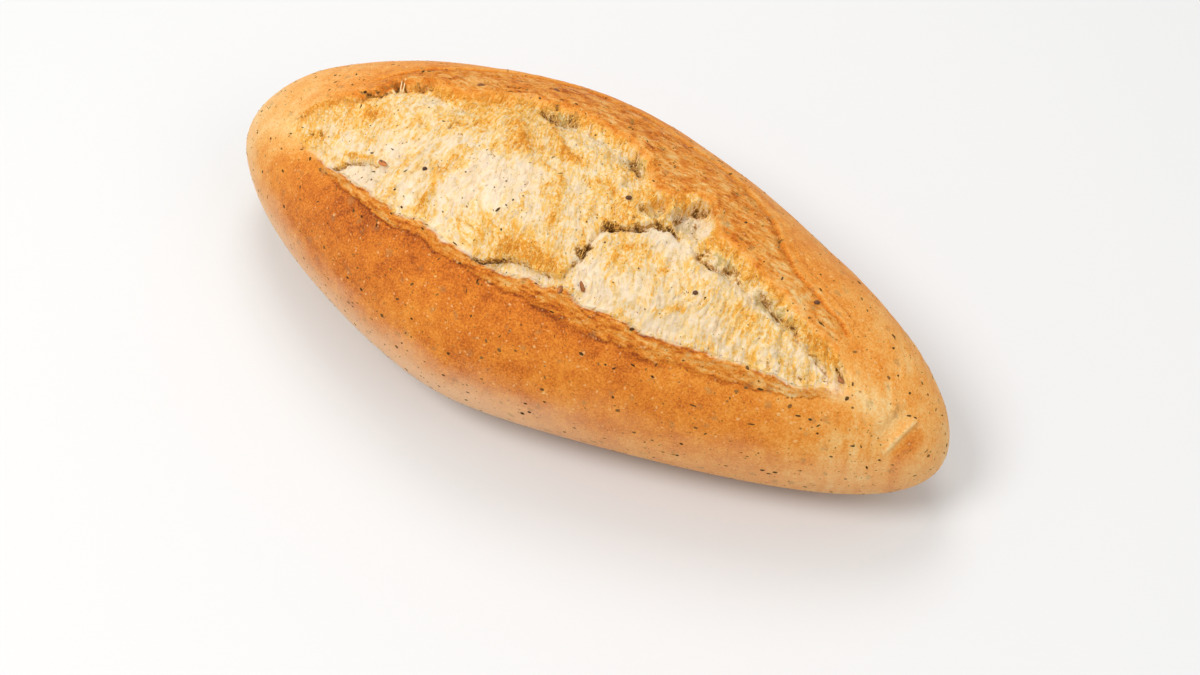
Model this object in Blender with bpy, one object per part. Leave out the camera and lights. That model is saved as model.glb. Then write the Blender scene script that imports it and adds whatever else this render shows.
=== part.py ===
"""Nettle bread: a long hearth loaf with pointed ends, whose one slash burst wide open in the oven.

The loaf is one solid. It starts as a sphere whose rings are stretched to the loaf's cross sections. The
torn crumb, the lips of the crust, the crevices, the caves and the folds are relief in that skin. Each is
placed by a path or a point on the loaf as seen from above, X along the loaf and Y across it, away from
the side that the slash leans to. Seeds that show from a step away are fused on.
Lengths and places are in millimetres, and MM turns them into metres.
"""

import math
from collections import namedtuple

import bmesh
import bpy
import numpy as np
from mathutils import Matrix, Vector, noise
from mathutils.bvhtree import BVHTree

MM = 0.001

# The loaf's own sizes
LENGTH = 315.0
WIDTH = 146.0
HEIGHT = 83.0
TIP_HEIGHT = 27.0  # of both pointed ends above the table
BELLY_SHARE = 0.41  # height of the widest line, as a share of the whole height
WIDEST_AT = -0.09  # place of the widest section, as a share of the half length
FULL_LEFT, FULL_RIGHT = 1.0, 0.85  # how full the plan stays towards each end
HIGH_LEFT, HIGH_RIGHT = 2.0, 1.8  # how high the back stays towards each end
SHOULDER = 0.22  # how softly the widest section turns into the two ends
ROUND_TOP, ROUND_BASE = 2.15, 2.3  # roundness of the section above and below the widest line
SUNK = 6.0  # depth that the round belly loses to the flat base it was baked on
BASE_SPREAD = 2.2  # how soon the belly reaches its full depth from the ends
BEND, SWEEP = -1.0, -1.2  # sideways bend of the middle line at the ends

# The mesh: rings along the loaf, segments round it
RINGS = 66
SEGMENTS = 56
EVEN_RINGS = 0.3  # share of even spacing in the rings, against spacing that crowds the ends
TOP_CROWDING = 0.4  # how much closer the segments lie on top than at the sides
FINE_MARGIN = 5.0  # how far round the slash the mesh is twice as fine
RELIEF_FADE = 12.0  # height over which the relief sets in above the tips' height

# The slash: the crust's lip in front, and the lip behind
FRONT_LIP = ((-124, -22), (-100, -30), (-90, -33.5), (-70, -37.7), (-49, -42), (-30, -44), (-12, -46),
             (3, -45), (21, -40.5), (40, -40.7), (57, -38.9), (80, -32.7), (100, -27), (120, -19), (128, -16))
BACK_LIP = ((-124, -19), (-112, -9), (-97, -1.5), (-86, 6), (-80, 13), (-62, 16), (-40, 26), (-28, 30),
            (-8, 31), (8, 28.5), (17, 24), (26, 16), (32, 14), (40, 19), (47, 19), (53, 12), (57, 5),
            (75, 1), (95, -4.5), (116, -9), (128, -14))
# Rise of the skin across each lip: distance from the lip towards the crumb, and height
FRONT_PROFILE = ((-10, 0), (-6.5, -0.9), (-3, 1.0), (-0.5, 1.3), (2.5, -1.9), (7, -1.0), (13, 0))
BACK_PROFILE = ((-16, 0), (-7, 0.8), (-1.5, 1.6), (2.5, -1.6), (8, -0.8), (14, 0))
LIP_FADE = 26.0  # length over which a lip fades out at both ends of the slash
CREASE_FADE = 0.2  # share of a crease's length over which it fades at each end
CREASE_END = 0.35  # share of its depth that a crease keeps at its ends

Crease = namedtuple("Crease", "path half_width depth")
CREASES = (
    # the thin crack at the left end, and the deeper crack under the left of the lip behind
    Crease(((-123, -19), (-115, -14), (-108, -7)), 3.5, 1.0),
    Crease(((-110, -4), (-97, -1.5), (-90, 5), (-84, 8)), 4.0, 3.0),
    # the flap at the left end of the front lip
    Crease(((-88, -33), (-80, -29.5), (-70, -28)), 3.5, 2.2),
    # the crevice under the lip behind, left of the middle
    Crease(((-33, 27), (-24, 25), (-12, 26), (0, 24), (12, 23), (24, 15)), 5.5, 4.8),
    # the crevice that runs round the middle lobe, from the front lip to the caves
    Crease(((-17, -45), (-8, -42), (2, -39), (18, -37.5)), 4.5, 4.4),
    Crease(((18, -37.5), (20, -28), (20.5, -16), (24, -10.5), (33, -6)), 4.2, 4.0),
    # the crevice behind the right lobe
    Crease(((27, 2), (35, -2), (46, -1.5), (60, -5), (74, -5), (88, -7), (101, -12)), 4.8, 4.6),
    # the fold across the right tip
    Crease(((136, -6), (137, -21)), 5.0, 1.0),
    Crease(((144, -8), (141, -21)), 3.5, -1.3),
    # the edge of the middle lobe over the front crevice
    Crease(((-10, -36), (4, -33), (16, -30)), 6.0, -1.8),
    # torn ridges across the crumb
    Crease(((-35, 14), (-27, 7), (-20, 0)), 5.0, -1.9),
    Crease(((-25, 23), (-15, 12), (-3, 8)), 5.0, -1.9),
    Crease(((-43, -14), (-42, -26), (-44, -38)), 4.0, -1.8),
    Crease(((-56, -18), (-58, -31)), 4.0, -1.2),
    Crease(((-14, -2), (-2, -5), (2, -14), (5, -27)), 5.0, -1.5),
    Crease(((14, -8), (17, -21)), 4.0, -1.3),
    Crease(((47, -20), (51, -30)), 4.5, -1.2),
    # the wall between the two caves
    Crease(((36, 12), (38.5, 2)), 3.0, -2.0),
    # the fold line in the crust behind
    Crease(((69, 28), (77, 18), (90, 9), (115, -2)), 4.0, -0.8),
)

Mound = namedtuple("Mound", "x y radius_x radius_y rise")
MOUNDS = (
    Mound(-86, 10, 6, 5, -3.6),  # cave under the arch at the left
    Mound(-72, 9, 9, 6, -1.8),
    Mound(-55, 8, 6, 4, -1.2),
    Mound(-54, -3, 8, 6, 1.4),  # torn knot
    Mound(-28, -18, 26, 18, 2.2),  # middle lobe
    Mound(4, -20, 18, 18, 2.4),
    Mound(57, -22, 34, 15, 1.6),  # right lobe
    Mound(32.5, 5, 5, 6, -4.5),  # caves at the back of the middle
    Mound(46, 7, 8, 11, -6.5),
    Mound(107, -13, 5, 3, -1.6),  # holes at the right end
    Mound(117, -14, 4, 3, -1.4),
    Mound(4, -43, 8, 3, -1.2),  # pocket below the front crevice
)

MOUND_REACH = 1.5  # a mound fades out at this many times its radii

# The crust's and the crumb's own unevenness: wavelength and height
SWELLS = ((38.0, 0.7), (15.0, 0.35))
TEARS = ((11.0, 1.3),)
TEAR_STRETCH = 0.45  # the tears are this much narrower along the loaf than across it
TEAR_INSET = 2.0  # the tears keep this far from the lips

# Seeds: place, turn in degrees, length and width
Seed = namedtuple("Seed", "x y turn length width")
SEEDS = (
    Seed(26, -35.4, 100, 4.8, 2.6),
    Seed(20.4, -40.7, 75, 4.4, 2.6),
    Seed(-67.3, -27.2, 0, 5.0, 2.2),
    Seed(21.7, 2.5, 95, 4.2, 2.6),
    Seed(-50.4, -23.3, 20, 2.6, 2.2),
    Seed(62.5, -19.4, 0, 2.8, 2.2),
    Seed(98.3, 4, 30, 3.0, 2.2),
    Seed(-58.7, 24.2, 60, 3.2, 2.4),
    Seed(118, -14.2, -38, 5.0, 2.6),
    Seed(-35, 41, 20, 2.8, 2.2),
)
SEED_THICKNESS = 1.7
SEED_SUNK = 0.25  # share of the thickness by which a seed's middle lies below the skin
SEED_SIDES, SEED_RINGS = 6, 4

CRUST_COLOUR = (0.56, 0.22, 0.05, 1.0)
CRUMB_COLOUR = (0.78, 0.56, 0.27, 1.0)
SEED_COLOUR = (0.19, 0.07, 0.03, 1.0)


def clear_scene():
    """Removes what is in the scene already."""
    for obj in list(bpy.data.objects):
        bpy.data.objects.remove(obj, do_unlink=True)


def collection(name):
    """Returns a new collection in the scene."""
    made = bpy.data.collections.new(name)
    bpy.context.scene.collection.children.link(made)
    return made


def material(name, colour, roughness):
    """Returns a Principled material without metal."""
    made = bpy.data.materials.new(name)
    made.use_nodes = True
    made.diffuse_color = colour
    shader = made.node_tree.nodes["Principled BSDF"]
    shader.inputs["Base Color"].default_value = colour
    shader.inputs["Roughness"].default_value = roughness
    shader.inputs["Metallic"].default_value = 0.0
    return made


def taper(station, fullness_left, fullness_right):
    """Size of a section as a share of the widest one, at a station from -1 to 1 along the loaf."""
    left = station < WIDEST_AT
    reach = np.where(left, (WIDEST_AT - station) / (1 + WIDEST_AT), (station - WIDEST_AT) / (1 - WIDEST_AT))
    reach = np.clip(reach, 0, 1)
    soft = (np.sqrt(reach**2 + SHOULDER**2) - SHOULDER) / (math.sqrt(1 + SHOULDER**2) - SHOULDER)
    fullness = np.where(left, fullness_left, fullness_right)
    return np.sqrt(np.clip(1 - soft**fullness, 0, 1))


def loaf_point(station, turn):
    """The smooth loaf's skin at a station along it and a turn round it, where a quarter turn is its top."""
    across = taper(station, FULL_LEFT, FULL_RIGHT)
    upward = taper(station, HIGH_LEFT, HIGH_RIGHT)
    belly = TIP_HEIGHT + (BELLY_SHARE * HEIGHT - TIP_HEIGHT) * upward
    crown = (1 - BELLY_SHARE) * HEIGHT * upward
    middle = BEND * station**2 + SWEEP * station**3
    on_top = np.sin(turn) >= 0
    power = 2 / np.where(on_top, ROUND_TOP, ROUND_BASE)
    y = middle + WIDTH / 2 * across * np.sign(np.cos(turn)) * np.abs(np.cos(turn)) ** power
    depth = (belly + SUNK) * np.tanh(across * BASE_SPREAD)
    swing = np.abs(np.sin(turn)) ** power
    z = np.where(on_top, belly + crown * swing, belly - depth * swing)
    return np.stack([LENGTH / 2 * station, y, np.maximum(z, 0)], axis=-1)


def distance_to(path, x, y):
    """Distance of each point from a path, and a share that falls to 0 at the path's two ends."""
    ends = np.array(path, float)
    starts, steps = ends[:-1], np.diff(ends, axis=0)
    lengths = np.hypot(steps[:, 0], steps[:, 1])
    before = np.concatenate([[0], np.cumsum(lengths)[:-1]])
    nearest = np.full(x.shape, np.inf)
    walked = np.zeros(x.shape)
    for start, step, length, passed in zip(starts, steps, lengths, before):
        share = ((x - start[0]) * step[0] + (y - start[1]) * step[1]) / length**2
        share = np.clip(share, 0, 1)
        away = np.hypot(x - start[0] - share * step[0], y - start[1] - share * step[1])
        closer = away < nearest
        nearest = np.where(closer, away, nearest)
        walked = np.where(closer, passed + share * length, walked)
    total = lengths.sum()
    fade = np.clip(np.minimum(walked, total - walked) / (CREASE_FADE * total) + CREASE_END, 0, 1)
    return nearest, fade


def bump(distance, reach):
    """A smooth hump: 1 at no distance, 0 from the reach on."""
    return np.clip(1 - (distance / reach) ** 2, 0, 1) ** 2


def lip_rise(x, y, lip, profile, inward):
    """Rise of the skin across a lip of the slash, which fades towards both ends of the slash."""
    xs, ys = np.array(lip, float).T
    into_crumb = (y - np.interp(x, xs, ys)) * inward
    fade = np.clip(np.minimum(x - xs[0], xs[-1] - x) / LIP_FADE, 0, 1)
    return fade * np.interp(into_crumb, *np.array(profile, float).T)


def in_slash(x, y, margin=0.0):
    """Whether each point lies on the crumb between the lips, or within a margin of it."""
    front = np.interp(x, *np.array(FRONT_LIP, float).T)
    back = np.interp(x, *np.array(BACK_LIP, float).T)
    inside = (x > FRONT_LIP[0][0] - margin) & (x < FRONT_LIP[-1][0] + margin)
    return inside & (y > front - margin) & (y < back + margin)


def waves(x, y, z, sizes, stretch=1.0):
    """Sum of smooth noise of the given wavelengths and heights."""
    total = np.zeros(x.shape)
    for wavelength, height in sizes:
        for index in np.ndindex(x.shape):
            place = Vector((x[index] / stretch, y[index], z[index])) / wavelength
            total[index] += height * noise.noise(place)
    return total


def relief(places):
    """How far each point of the smooth loaf moves out along its normal."""
    x, y, z = places.T
    rise = lip_rise(x, y, FRONT_LIP, FRONT_PROFILE, 1) + lip_rise(x, y, BACK_LIP, BACK_PROFILE, -1)
    for crease in CREASES:
        distance, fade = distance_to(crease.path, x, y)
        rise -= crease.depth * fade * bump(distance, crease.half_width)
    for mound in MOUNDS:
        distance = np.hypot((x - mound.x) / mound.radius_x, (y - mound.y) / mound.radius_y)
        rise += mound.rise * bump(distance, MOUND_REACH)
    rise += np.where(in_slash(x, y, -TEAR_INSET), waves(x, y, z, TEARS, TEAR_STRETCH), 0)
    rise += waves(x, y, z, SWELLS)
    above_belly = np.clip((z - TIP_HEIGHT) / RELIEF_FADE, 0, 1)
    return rise * above_belly


def faces_in_slash(bm, margin):
    """Returns the faces on top of the loaf that lie between the lips, or within a margin of them."""
    x, y, z = np.array([face.calc_center_median() for face in bm.faces]).T
    chosen = in_slash(x, y, margin) & (z > TIP_HEIGHT)
    return [face for face, inside in zip(bm.faces, chosen) if inside]


def loaf_mesh():
    """Returns the loaf's skin as a bmesh in millimetres, with the crumb's faces in the second material."""
    bm = bmesh.new()
    along_x = Matrix.Rotation(math.pi / 2, 4, "Y")
    bmesh.ops.create_uvsphere(bm, u_segments=SEGMENTS, v_segments=RINGS, radius=1, matrix=along_x)
    sphere = np.array([vert.co for vert in bm.verts])
    ring = np.arccos(np.clip(-sphere[:, 0], -1, 1))
    station = (1 - EVEN_RINGS) * sphere[:, 0] + EVEN_RINGS * (2 * ring / math.pi - 1)
    from_top = np.arctan2(sphere[:, 1], sphere[:, 2])
    from_top -= TOP_CROWDING * np.sin(from_top)
    for vert, place in zip(bm.verts, loaf_point(station, math.pi / 2 - from_top)):
        vert.co = place

    slash_faces = faces_in_slash(bm, FINE_MARGIN)
    edges = list({edge for face in slash_faces for edge in face.edges})
    bmesh.ops.subdivide_edges(bm, edges=edges, cuts=1, use_grid_fill=True)

    bm.normal_update()
    places = np.array([vert.co for vert in bm.verts])
    normals = np.array([vert.normal for vert in bm.verts])
    moved = places + normals * relief(places)[:, None]
    moved[:, 2] = np.maximum(moved[:, 2], 0)
    for vert, place in zip(bm.verts, moved):
        vert.co = place

    bmesh.ops.triangulate(bm, faces=bm.faces, quad_method="SHORT_EDGE")
    for face in bm.faces:
        face.smooth = True
    for face in faces_in_slash(bm, 0.0):
        face.material_index = 1
    return bm


def seed_object(number, seed, skin, materials, home):
    """Puts one seed on the skin, half sunk, as an object in the given collection."""
    place, normal, _, _ = skin.ray_cast(Vector((seed.x, seed.y, 2 * HEIGHT)), Vector((0, 0, -1)))
    across = normal.cross(Vector((math.cos(math.radians(seed.turn)), math.sin(math.radians(seed.turn)), 0)))
    across.normalize()
    lengthways = across.cross(normal)
    turned = Matrix((lengthways, across, normal)).transposed().to_4x4()
    size = Matrix.Diagonal((seed.length / 2, seed.width / 2, SEED_THICKNESS / 2, 1))
    sunk = Matrix.Translation(place - normal * SEED_THICKNESS * SEED_SUNK)
    bm = bmesh.new()
    bmesh.ops.create_uvsphere(bm, u_segments=SEED_SIDES, v_segments=SEED_RINGS, radius=1,
                              matrix=Matrix.Scale(MM, 4) @ sunk @ turned @ size)
    for face in bm.faces:
        face.material_index = 2
        face.smooth = True
    mesh = bpy.data.meshes.new(f"seed_{number}")
    bm.to_mesh(mesh)
    bm.free()
    for finish in materials:
        mesh.materials.append(finish)
    obj = bpy.data.objects.new(f"seed_{number}", mesh)
    obj.hide_render = True
    obj.display_type = "WIRE"
    home.objects.link(obj)


def fuse(obj, cutters):
    """Joins all the objects of a collection to the loaf by one union, and removes them."""
    union = obj.modifiers.new("seeds", "BOOLEAN")
    union.operation = "UNION"
    union.operand_type = "COLLECTION"
    union.collection = cutters
    union.solver = "EXACT"
    graph = bpy.context.evaluated_depsgraph_get()
    fused = bpy.data.meshes.new_from_object(obj.evaluated_get(graph))
    obj.modifiers.remove(union)
    obj.data = fused
    for helper in list(cutters.objects):
        bpy.data.objects.remove(helper, do_unlink=True)


def build():
    """Makes the loaf."""
    clear_scene()
    bread = collection("nettle_bread")
    cutters = collection("seeds_to_fuse")
    cutters.hide_render = True
    materials = [
        material("baked crust", CRUST_COLOUR, 0.55),
        material("torn crumb", CRUMB_COLOUR, 0.8),
        material("seed", SEED_COLOUR, 0.4),
    ]
    bm = loaf_mesh()
    skin = BVHTree.FromBMesh(bm)
    for number, seed in enumerate(SEEDS):
        seed_object(number, seed, skin, materials, cutters)
    bmesh.ops.scale(bm, vec=(MM, MM, MM), verts=bm.verts)
    mesh = bpy.data.meshes.new("loaf")
    bm.to_mesh(mesh)
    bm.free()
    for finish in materials:
        mesh.materials.append(finish)
    loaf = bpy.data.objects.new("loaf", mesh)
    bread.objects.link(loaf)
    fuse(loaf, cutters)


build()
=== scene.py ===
"""Nettle bread, dressed: one hearth loaf whose slash burst open in the oven.

The loaf's skin is one closed mesh that replaces the solid `loaf`: smooth baked crust, the rough lips of the
slash, and torn crumb with crevices, caves and browned ridges. Seeds, nettle flecks, loose crumbs and strands
of crumb are pieces of their own on it. Everything is worked out from the frame's box of the loaf.

Places on the loaf are in millimetres in its plan: x along it towards the tip with the fold, y across it,
away from the side that the slash leans to. MM turns them into metres.
"""

import logging
import math
from dataclasses import dataclass, field
from enum import Enum

import bmesh
import bpy
import numpy as np
from mathutils import Matrix, Vector, noise
from mathutils.bvhtree import BVHTree


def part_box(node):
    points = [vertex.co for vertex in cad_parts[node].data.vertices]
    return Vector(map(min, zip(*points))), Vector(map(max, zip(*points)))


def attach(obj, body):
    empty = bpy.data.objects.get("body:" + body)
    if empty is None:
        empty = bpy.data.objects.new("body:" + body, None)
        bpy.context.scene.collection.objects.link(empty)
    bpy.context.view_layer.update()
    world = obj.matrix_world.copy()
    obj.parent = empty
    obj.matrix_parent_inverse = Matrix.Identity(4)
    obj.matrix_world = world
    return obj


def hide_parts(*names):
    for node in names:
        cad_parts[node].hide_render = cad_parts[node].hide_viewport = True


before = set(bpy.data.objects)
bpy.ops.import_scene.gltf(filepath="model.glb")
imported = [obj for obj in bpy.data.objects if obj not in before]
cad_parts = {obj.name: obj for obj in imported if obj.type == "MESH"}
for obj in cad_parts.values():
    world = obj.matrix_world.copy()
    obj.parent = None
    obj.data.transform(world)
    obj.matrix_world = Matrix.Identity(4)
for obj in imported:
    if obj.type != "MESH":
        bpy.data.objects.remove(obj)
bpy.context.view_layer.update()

MM = 0.001
ROOM = 0.15
SMOOTH_TOP = 0.9623
BODY = "root"
NODE = "loaf"

log = logging.getLogger("nettle_bread")

Array = np.ndarray
Colour = tuple[float, float, float, float]
Ramp = tuple[tuple[float, Colour], ...]


def smooth(low: float, high: float, value: Array) -> Array:
    """Smooth step of a value from 0 at low to 1 at high, where low may be the larger.

    Args:
        low: the value that gives 0.
        high: the value that gives 1.
        value: the values to step.

    Returns:
        The step for each value.
    """
    share = np.clip((value - low) / (high - low), 0, 1)
    return share * share * (3 - 2 * share)


def bump(distance: Array, reach: float) -> Array:
    """A smooth hump: 1 at no distance, 0 from the reach on."""
    return np.clip(1 - (distance / reach) ** 2, 0, 1) ** 2


def grain(x: Array, y: Array, z: Array, sizes: tuple[float, float, float], octaves: int = 2) -> Array:
    """Fractal noise at each point, about -1 to 1.

    Args:
        x: places along the first axis, in millimetres.
        y: places along the second axis.
        z: places along the third axis.
        sizes: the noise's wavelength along each axis.
        octaves: number of layers, each half as wide and half as strong as the one before.

    Returns:
        The noise at each point.
    """
    places = np.stack([x / sizes[0], y / sizes[1], z / sizes[2]], axis=-1).tolist()
    return np.array([noise.fractal(place, 1.0, 2.0, octaves) for place in places])


def cells(x: Array, y: Array, z: Array, size: float) -> Array:
    """Distance of each point from the nearest of many scattered spots, in shares of their spacing."""
    places = np.stack([x, y, z], axis=-1) / size
    return np.array([noise.voronoi(place)[0][0] for place in places.tolist()])


class Smoothness(Enum):
    """How a new mesh is shaded."""

    SMOOTH = True
    FACETED = False


@dataclass(frozen=True)
class LoafForm:
    """The loaf's smooth form without its slash, in millimetres: a sphere stretched to its sections."""

    length: float
    width: float
    height: float
    tip_height: float = 27.0
    belly_share: float = 0.41
    widest_at: float = -0.09
    full_ends: tuple[float, float] = (1.0, 0.85)
    high_ends: tuple[float, float] = (2.0, 1.8)
    shoulder: float = 0.22
    round_top: float = 2.15
    round_base: float = 2.3
    sunk: float = 6.0
    base_spread: float = 2.2
    bend: float = -1.0
    sweep: float = -1.2

    def taper(self, station: Array, ends: tuple[float, float]) -> Array:
        """Size of a section as a share of the widest one.

        Args:
            station: places along the loaf, from -1 to 1.
            ends: how full the left and the right end stay.

        Returns:
            The share at each station.
        """
        left = station < self.widest_at
        to_left = (self.widest_at - station) / (1 + self.widest_at)
        to_right = (station - self.widest_at) / (1 - self.widest_at)
        reach = np.clip(np.where(left, to_left, to_right), 0, 1)
        soft = np.sqrt(reach**2 + self.shoulder**2) - self.shoulder
        soft = soft / (math.sqrt(1 + self.shoulder**2) - self.shoulder)
        return np.sqrt(np.clip(1 - soft ** np.where(left, *ends), 0, 1))

    def skin(self, station: Array, turn: Array) -> Array:
        """Points of the smooth skin.

        Args:
            station: places along the loaf, from -1 to 1.
            turn: angles round it, a quarter turn for its top.

        Returns:
            The points, one row each.
        """
        across = self.taper(station, self.full_ends)
        upward = self.taper(station, self.high_ends)
        belly = self.tip_height + (self.belly_share * self.height - self.tip_height) * upward
        crown = (1 - self.belly_share) * self.height * upward
        middle = self.bend * station**2 + self.sweep * station**3
        on_top = np.sin(turn) >= 0
        power = 2 / np.where(on_top, self.round_top, self.round_base)
        swing = np.abs(np.cos(turn)) ** power * np.sign(np.cos(turn))
        lift = np.abs(np.sin(turn)) ** power
        depth = (belly + self.sunk) * np.tanh(across * self.base_spread)
        z = np.where(on_top, belly + crown * lift, belly - depth * lift)
        return np.stack([self.length / 2 * station, middle + self.width / 2 * across * swing, z], axis=-1)


@dataclass(frozen=True)
class Trail:
    """A line across the loaf's top as seen from above, with a value at each of its points."""

    points: tuple[tuple[float, ...], ...]
    fade: float = 5.0

    def measure(self, x: Array, y: Array) -> tuple[Array, Array, Array, Array]:
        """Measures each place against the trail.

        Args:
            x: places along the loaf.
            y: places across it.

        Returns:
            The distance to the trail, positive on its right-hand side, the value there, which fades at the
            trail's ends, and the direction to the right as two arrays.
        """
        ends = np.array(self.points, float)
        steps = np.diff(ends[:, :2], axis=0)
        lengths = np.hypot(steps[:, 0], steps[:, 1])
        passed = np.concatenate([[0], np.cumsum(lengths)])
        nearest = np.full(x.shape, np.inf)
        side, walked = np.zeros(x.shape), np.zeros(x.shape)
        right_x, right_y = np.zeros(x.shape), np.zeros(x.shape)
        for start, step, length, before in zip(ends, steps, lengths, passed):
            share = np.clip(((x - start[0]) * step[0] + (y - start[1]) * step[1]) / length**2, 0, 1)
            gap_x, gap_y = x - start[0] - share * step[0], y - start[1] - share * step[1]
            away = np.hypot(gap_x, gap_y)
            closer = away < nearest
            nearest = np.where(closer, away, nearest)
            walked = np.where(closer, before + share * length, walked)
            side = np.where(closer, gap_x * step[1] - gap_y * step[0], side)
            right_x = np.where(closer, step[1] / length, right_x)
            right_y = np.where(closer, -step[0] / length, right_y)
        values = ends[:, 2] if ends.shape[1] > 2 else np.ones(len(ends))
        value = np.interp(walked, passed, values)
        value = value * smooth(0, self.fade, np.minimum(walked, passed[-1] - walked))
        return nearest * np.where(side < 0, -1, 1), value, right_x, right_y

    def across(self, x: Array, y: Array) -> Array:
        """How far each place lies beyond the trail's y at the same x."""
        xs, ys = np.array(self.points, float)[:, :2].T
        return y - np.interp(x, xs, ys)

    def along(self, x: Array) -> Array:
        """The value of the trail at each x."""
        table = np.array(self.points, float)
        return np.interp(x, table[:, 0], table[:, 2])


@dataclass(frozen=True)
class Crevice:
    """A tear with a steep torn wall on its left-hand side and a floor that ramps up on its right."""

    trail: Trail
    ramp: float
    wall: float = 0.8
    overhang: float = 0.8
    brow: float = 0.5
    brow_width: float = 3.5
    browned: float = 0.3
    # dark_depth: the crevice depth at which the painted shade at the wall's foot is full
    dark_depth: float = 2.4

    def shape(self, x: Array, y: Array) -> tuple[Array, Array, Array]:
        """Relief of the crevice.

        Args:
            x: places along the loaf.
            y: places across it.

        Returns:
            The rise, and the push along x and y.
        """
        side, depth, right_x, right_y = self.trail.measure(x, y)
        strength = np.clip(depth / 2, 0, 1)
        floor = np.clip(1 - np.maximum(side, 0) / self.ramp, 0, 1) ** 1.3
        sink = depth * smooth(-self.wall, 0.15, side) * floor
        brow = self.brow * strength * bump(side + self.wall + 1.0, self.brow_width) * (side < 0.3)
        push = self.overhang * strength * bump(side + self.wall, 1.6)
        return brow - sink, push * right_x, push * right_y

    def colour(self, x: Array, y: Array, ragged: Array) -> tuple[Array, Array]:
        """The browning of the torn edge, and the painted shade at the foot of the wall below it.

        Args:
            x: places along the loaf.
            y: places across it.
            ragged: noise that breaks the painted shade line up.

        Returns:
            The browning and the painted shade at each place, from 0 to 1.
        """
        side, depth, _, _ = self.trail.measure(x, y)
        browned = self.browned * np.clip(depth / 2, 0, 1) * bump(side + self.wall + 0.8, 3.0)
        # Painted shade: a broken dark line at the foot of the wall, darker where the crevice is deeper.
        broken = bump(side - 0.2, 1.5) + 0.35 * ragged
        dark = 0.62 * smooth(0.2, 0.9, broken) * np.clip(depth / self.dark_depth, 0, 1) ** 1.3
        return browned, dark


@dataclass(frozen=True)
class Ridge:
    """A torn ridge of crumb, browned along its crest."""

    points: tuple[tuple[float, float], ...]
    width: float
    height: float
    browned: float

    def shape(self, x: Array, y: Array) -> tuple[Array, Array]:
        """The ridge's rise and its browning at each place.

        Args:
            x: places along the loaf.
            y: places across it.

        Returns:
            The ridge's rise and its browning at each place.
        """
        side, value, _, _ = Trail(self.points, 3.0).measure(x, y)
        crest = bump(side, self.width) * value
        return self.height * crest, self.browned * bump(side, self.width * 1.15) * value


@dataclass(frozen=True)
class Patch:
    """An oval area: a hollow, a swelling, a stain, or a spot of painted shade or highlight."""

    x: float
    y: float
    radius_x: float
    radius_y: float
    amount: float
    turn: float = 0.0

    def reach(self, x: Array, y: Array) -> Array:
        """Distance of each place from the middle, in shares of the radii.

        Args:
            x: places along the loaf.
            y: places across it.

        Returns:
            The distance at each place.
        """
        cosine, sine = math.cos(math.radians(self.turn)), math.sin(math.radians(self.turn))
        away_x, away_y = x - self.x, y - self.y
        along = (away_x * cosine + away_y * sine) / self.radius_x
        return np.hypot(along, (away_y * cosine - away_x * sine) / self.radius_y)

    def soft(self, x: Array, y: Array) -> Array:
        """The amount at each place, which fades out well beyond the radii."""
        return self.amount * bump(self.reach(x, y), 1.5)

    def steep(self, x: Array, y: Array) -> Array:
        """The amount at each place, which stays up to the radii and drops at a steep rim."""
        reach = self.reach(x, y)
        return self.amount * smooth(1.15, 0.78, reach) * (0.8 + 0.2 * np.clip(1 - reach**2, 0, 1))


def patches(*rows: tuple[float, ...]) -> tuple[Patch, ...]:
    """Patches from rows of their place, radii, amount and, where they are turned, degrees."""
    return tuple(Patch(*row) for row in rows)


def ridges_of(*rows: tuple) -> tuple[Ridge, ...]:
    """Ridges from rows of their points, width, height and browning."""
    return tuple(Ridge(*row) for row in rows)


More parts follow.
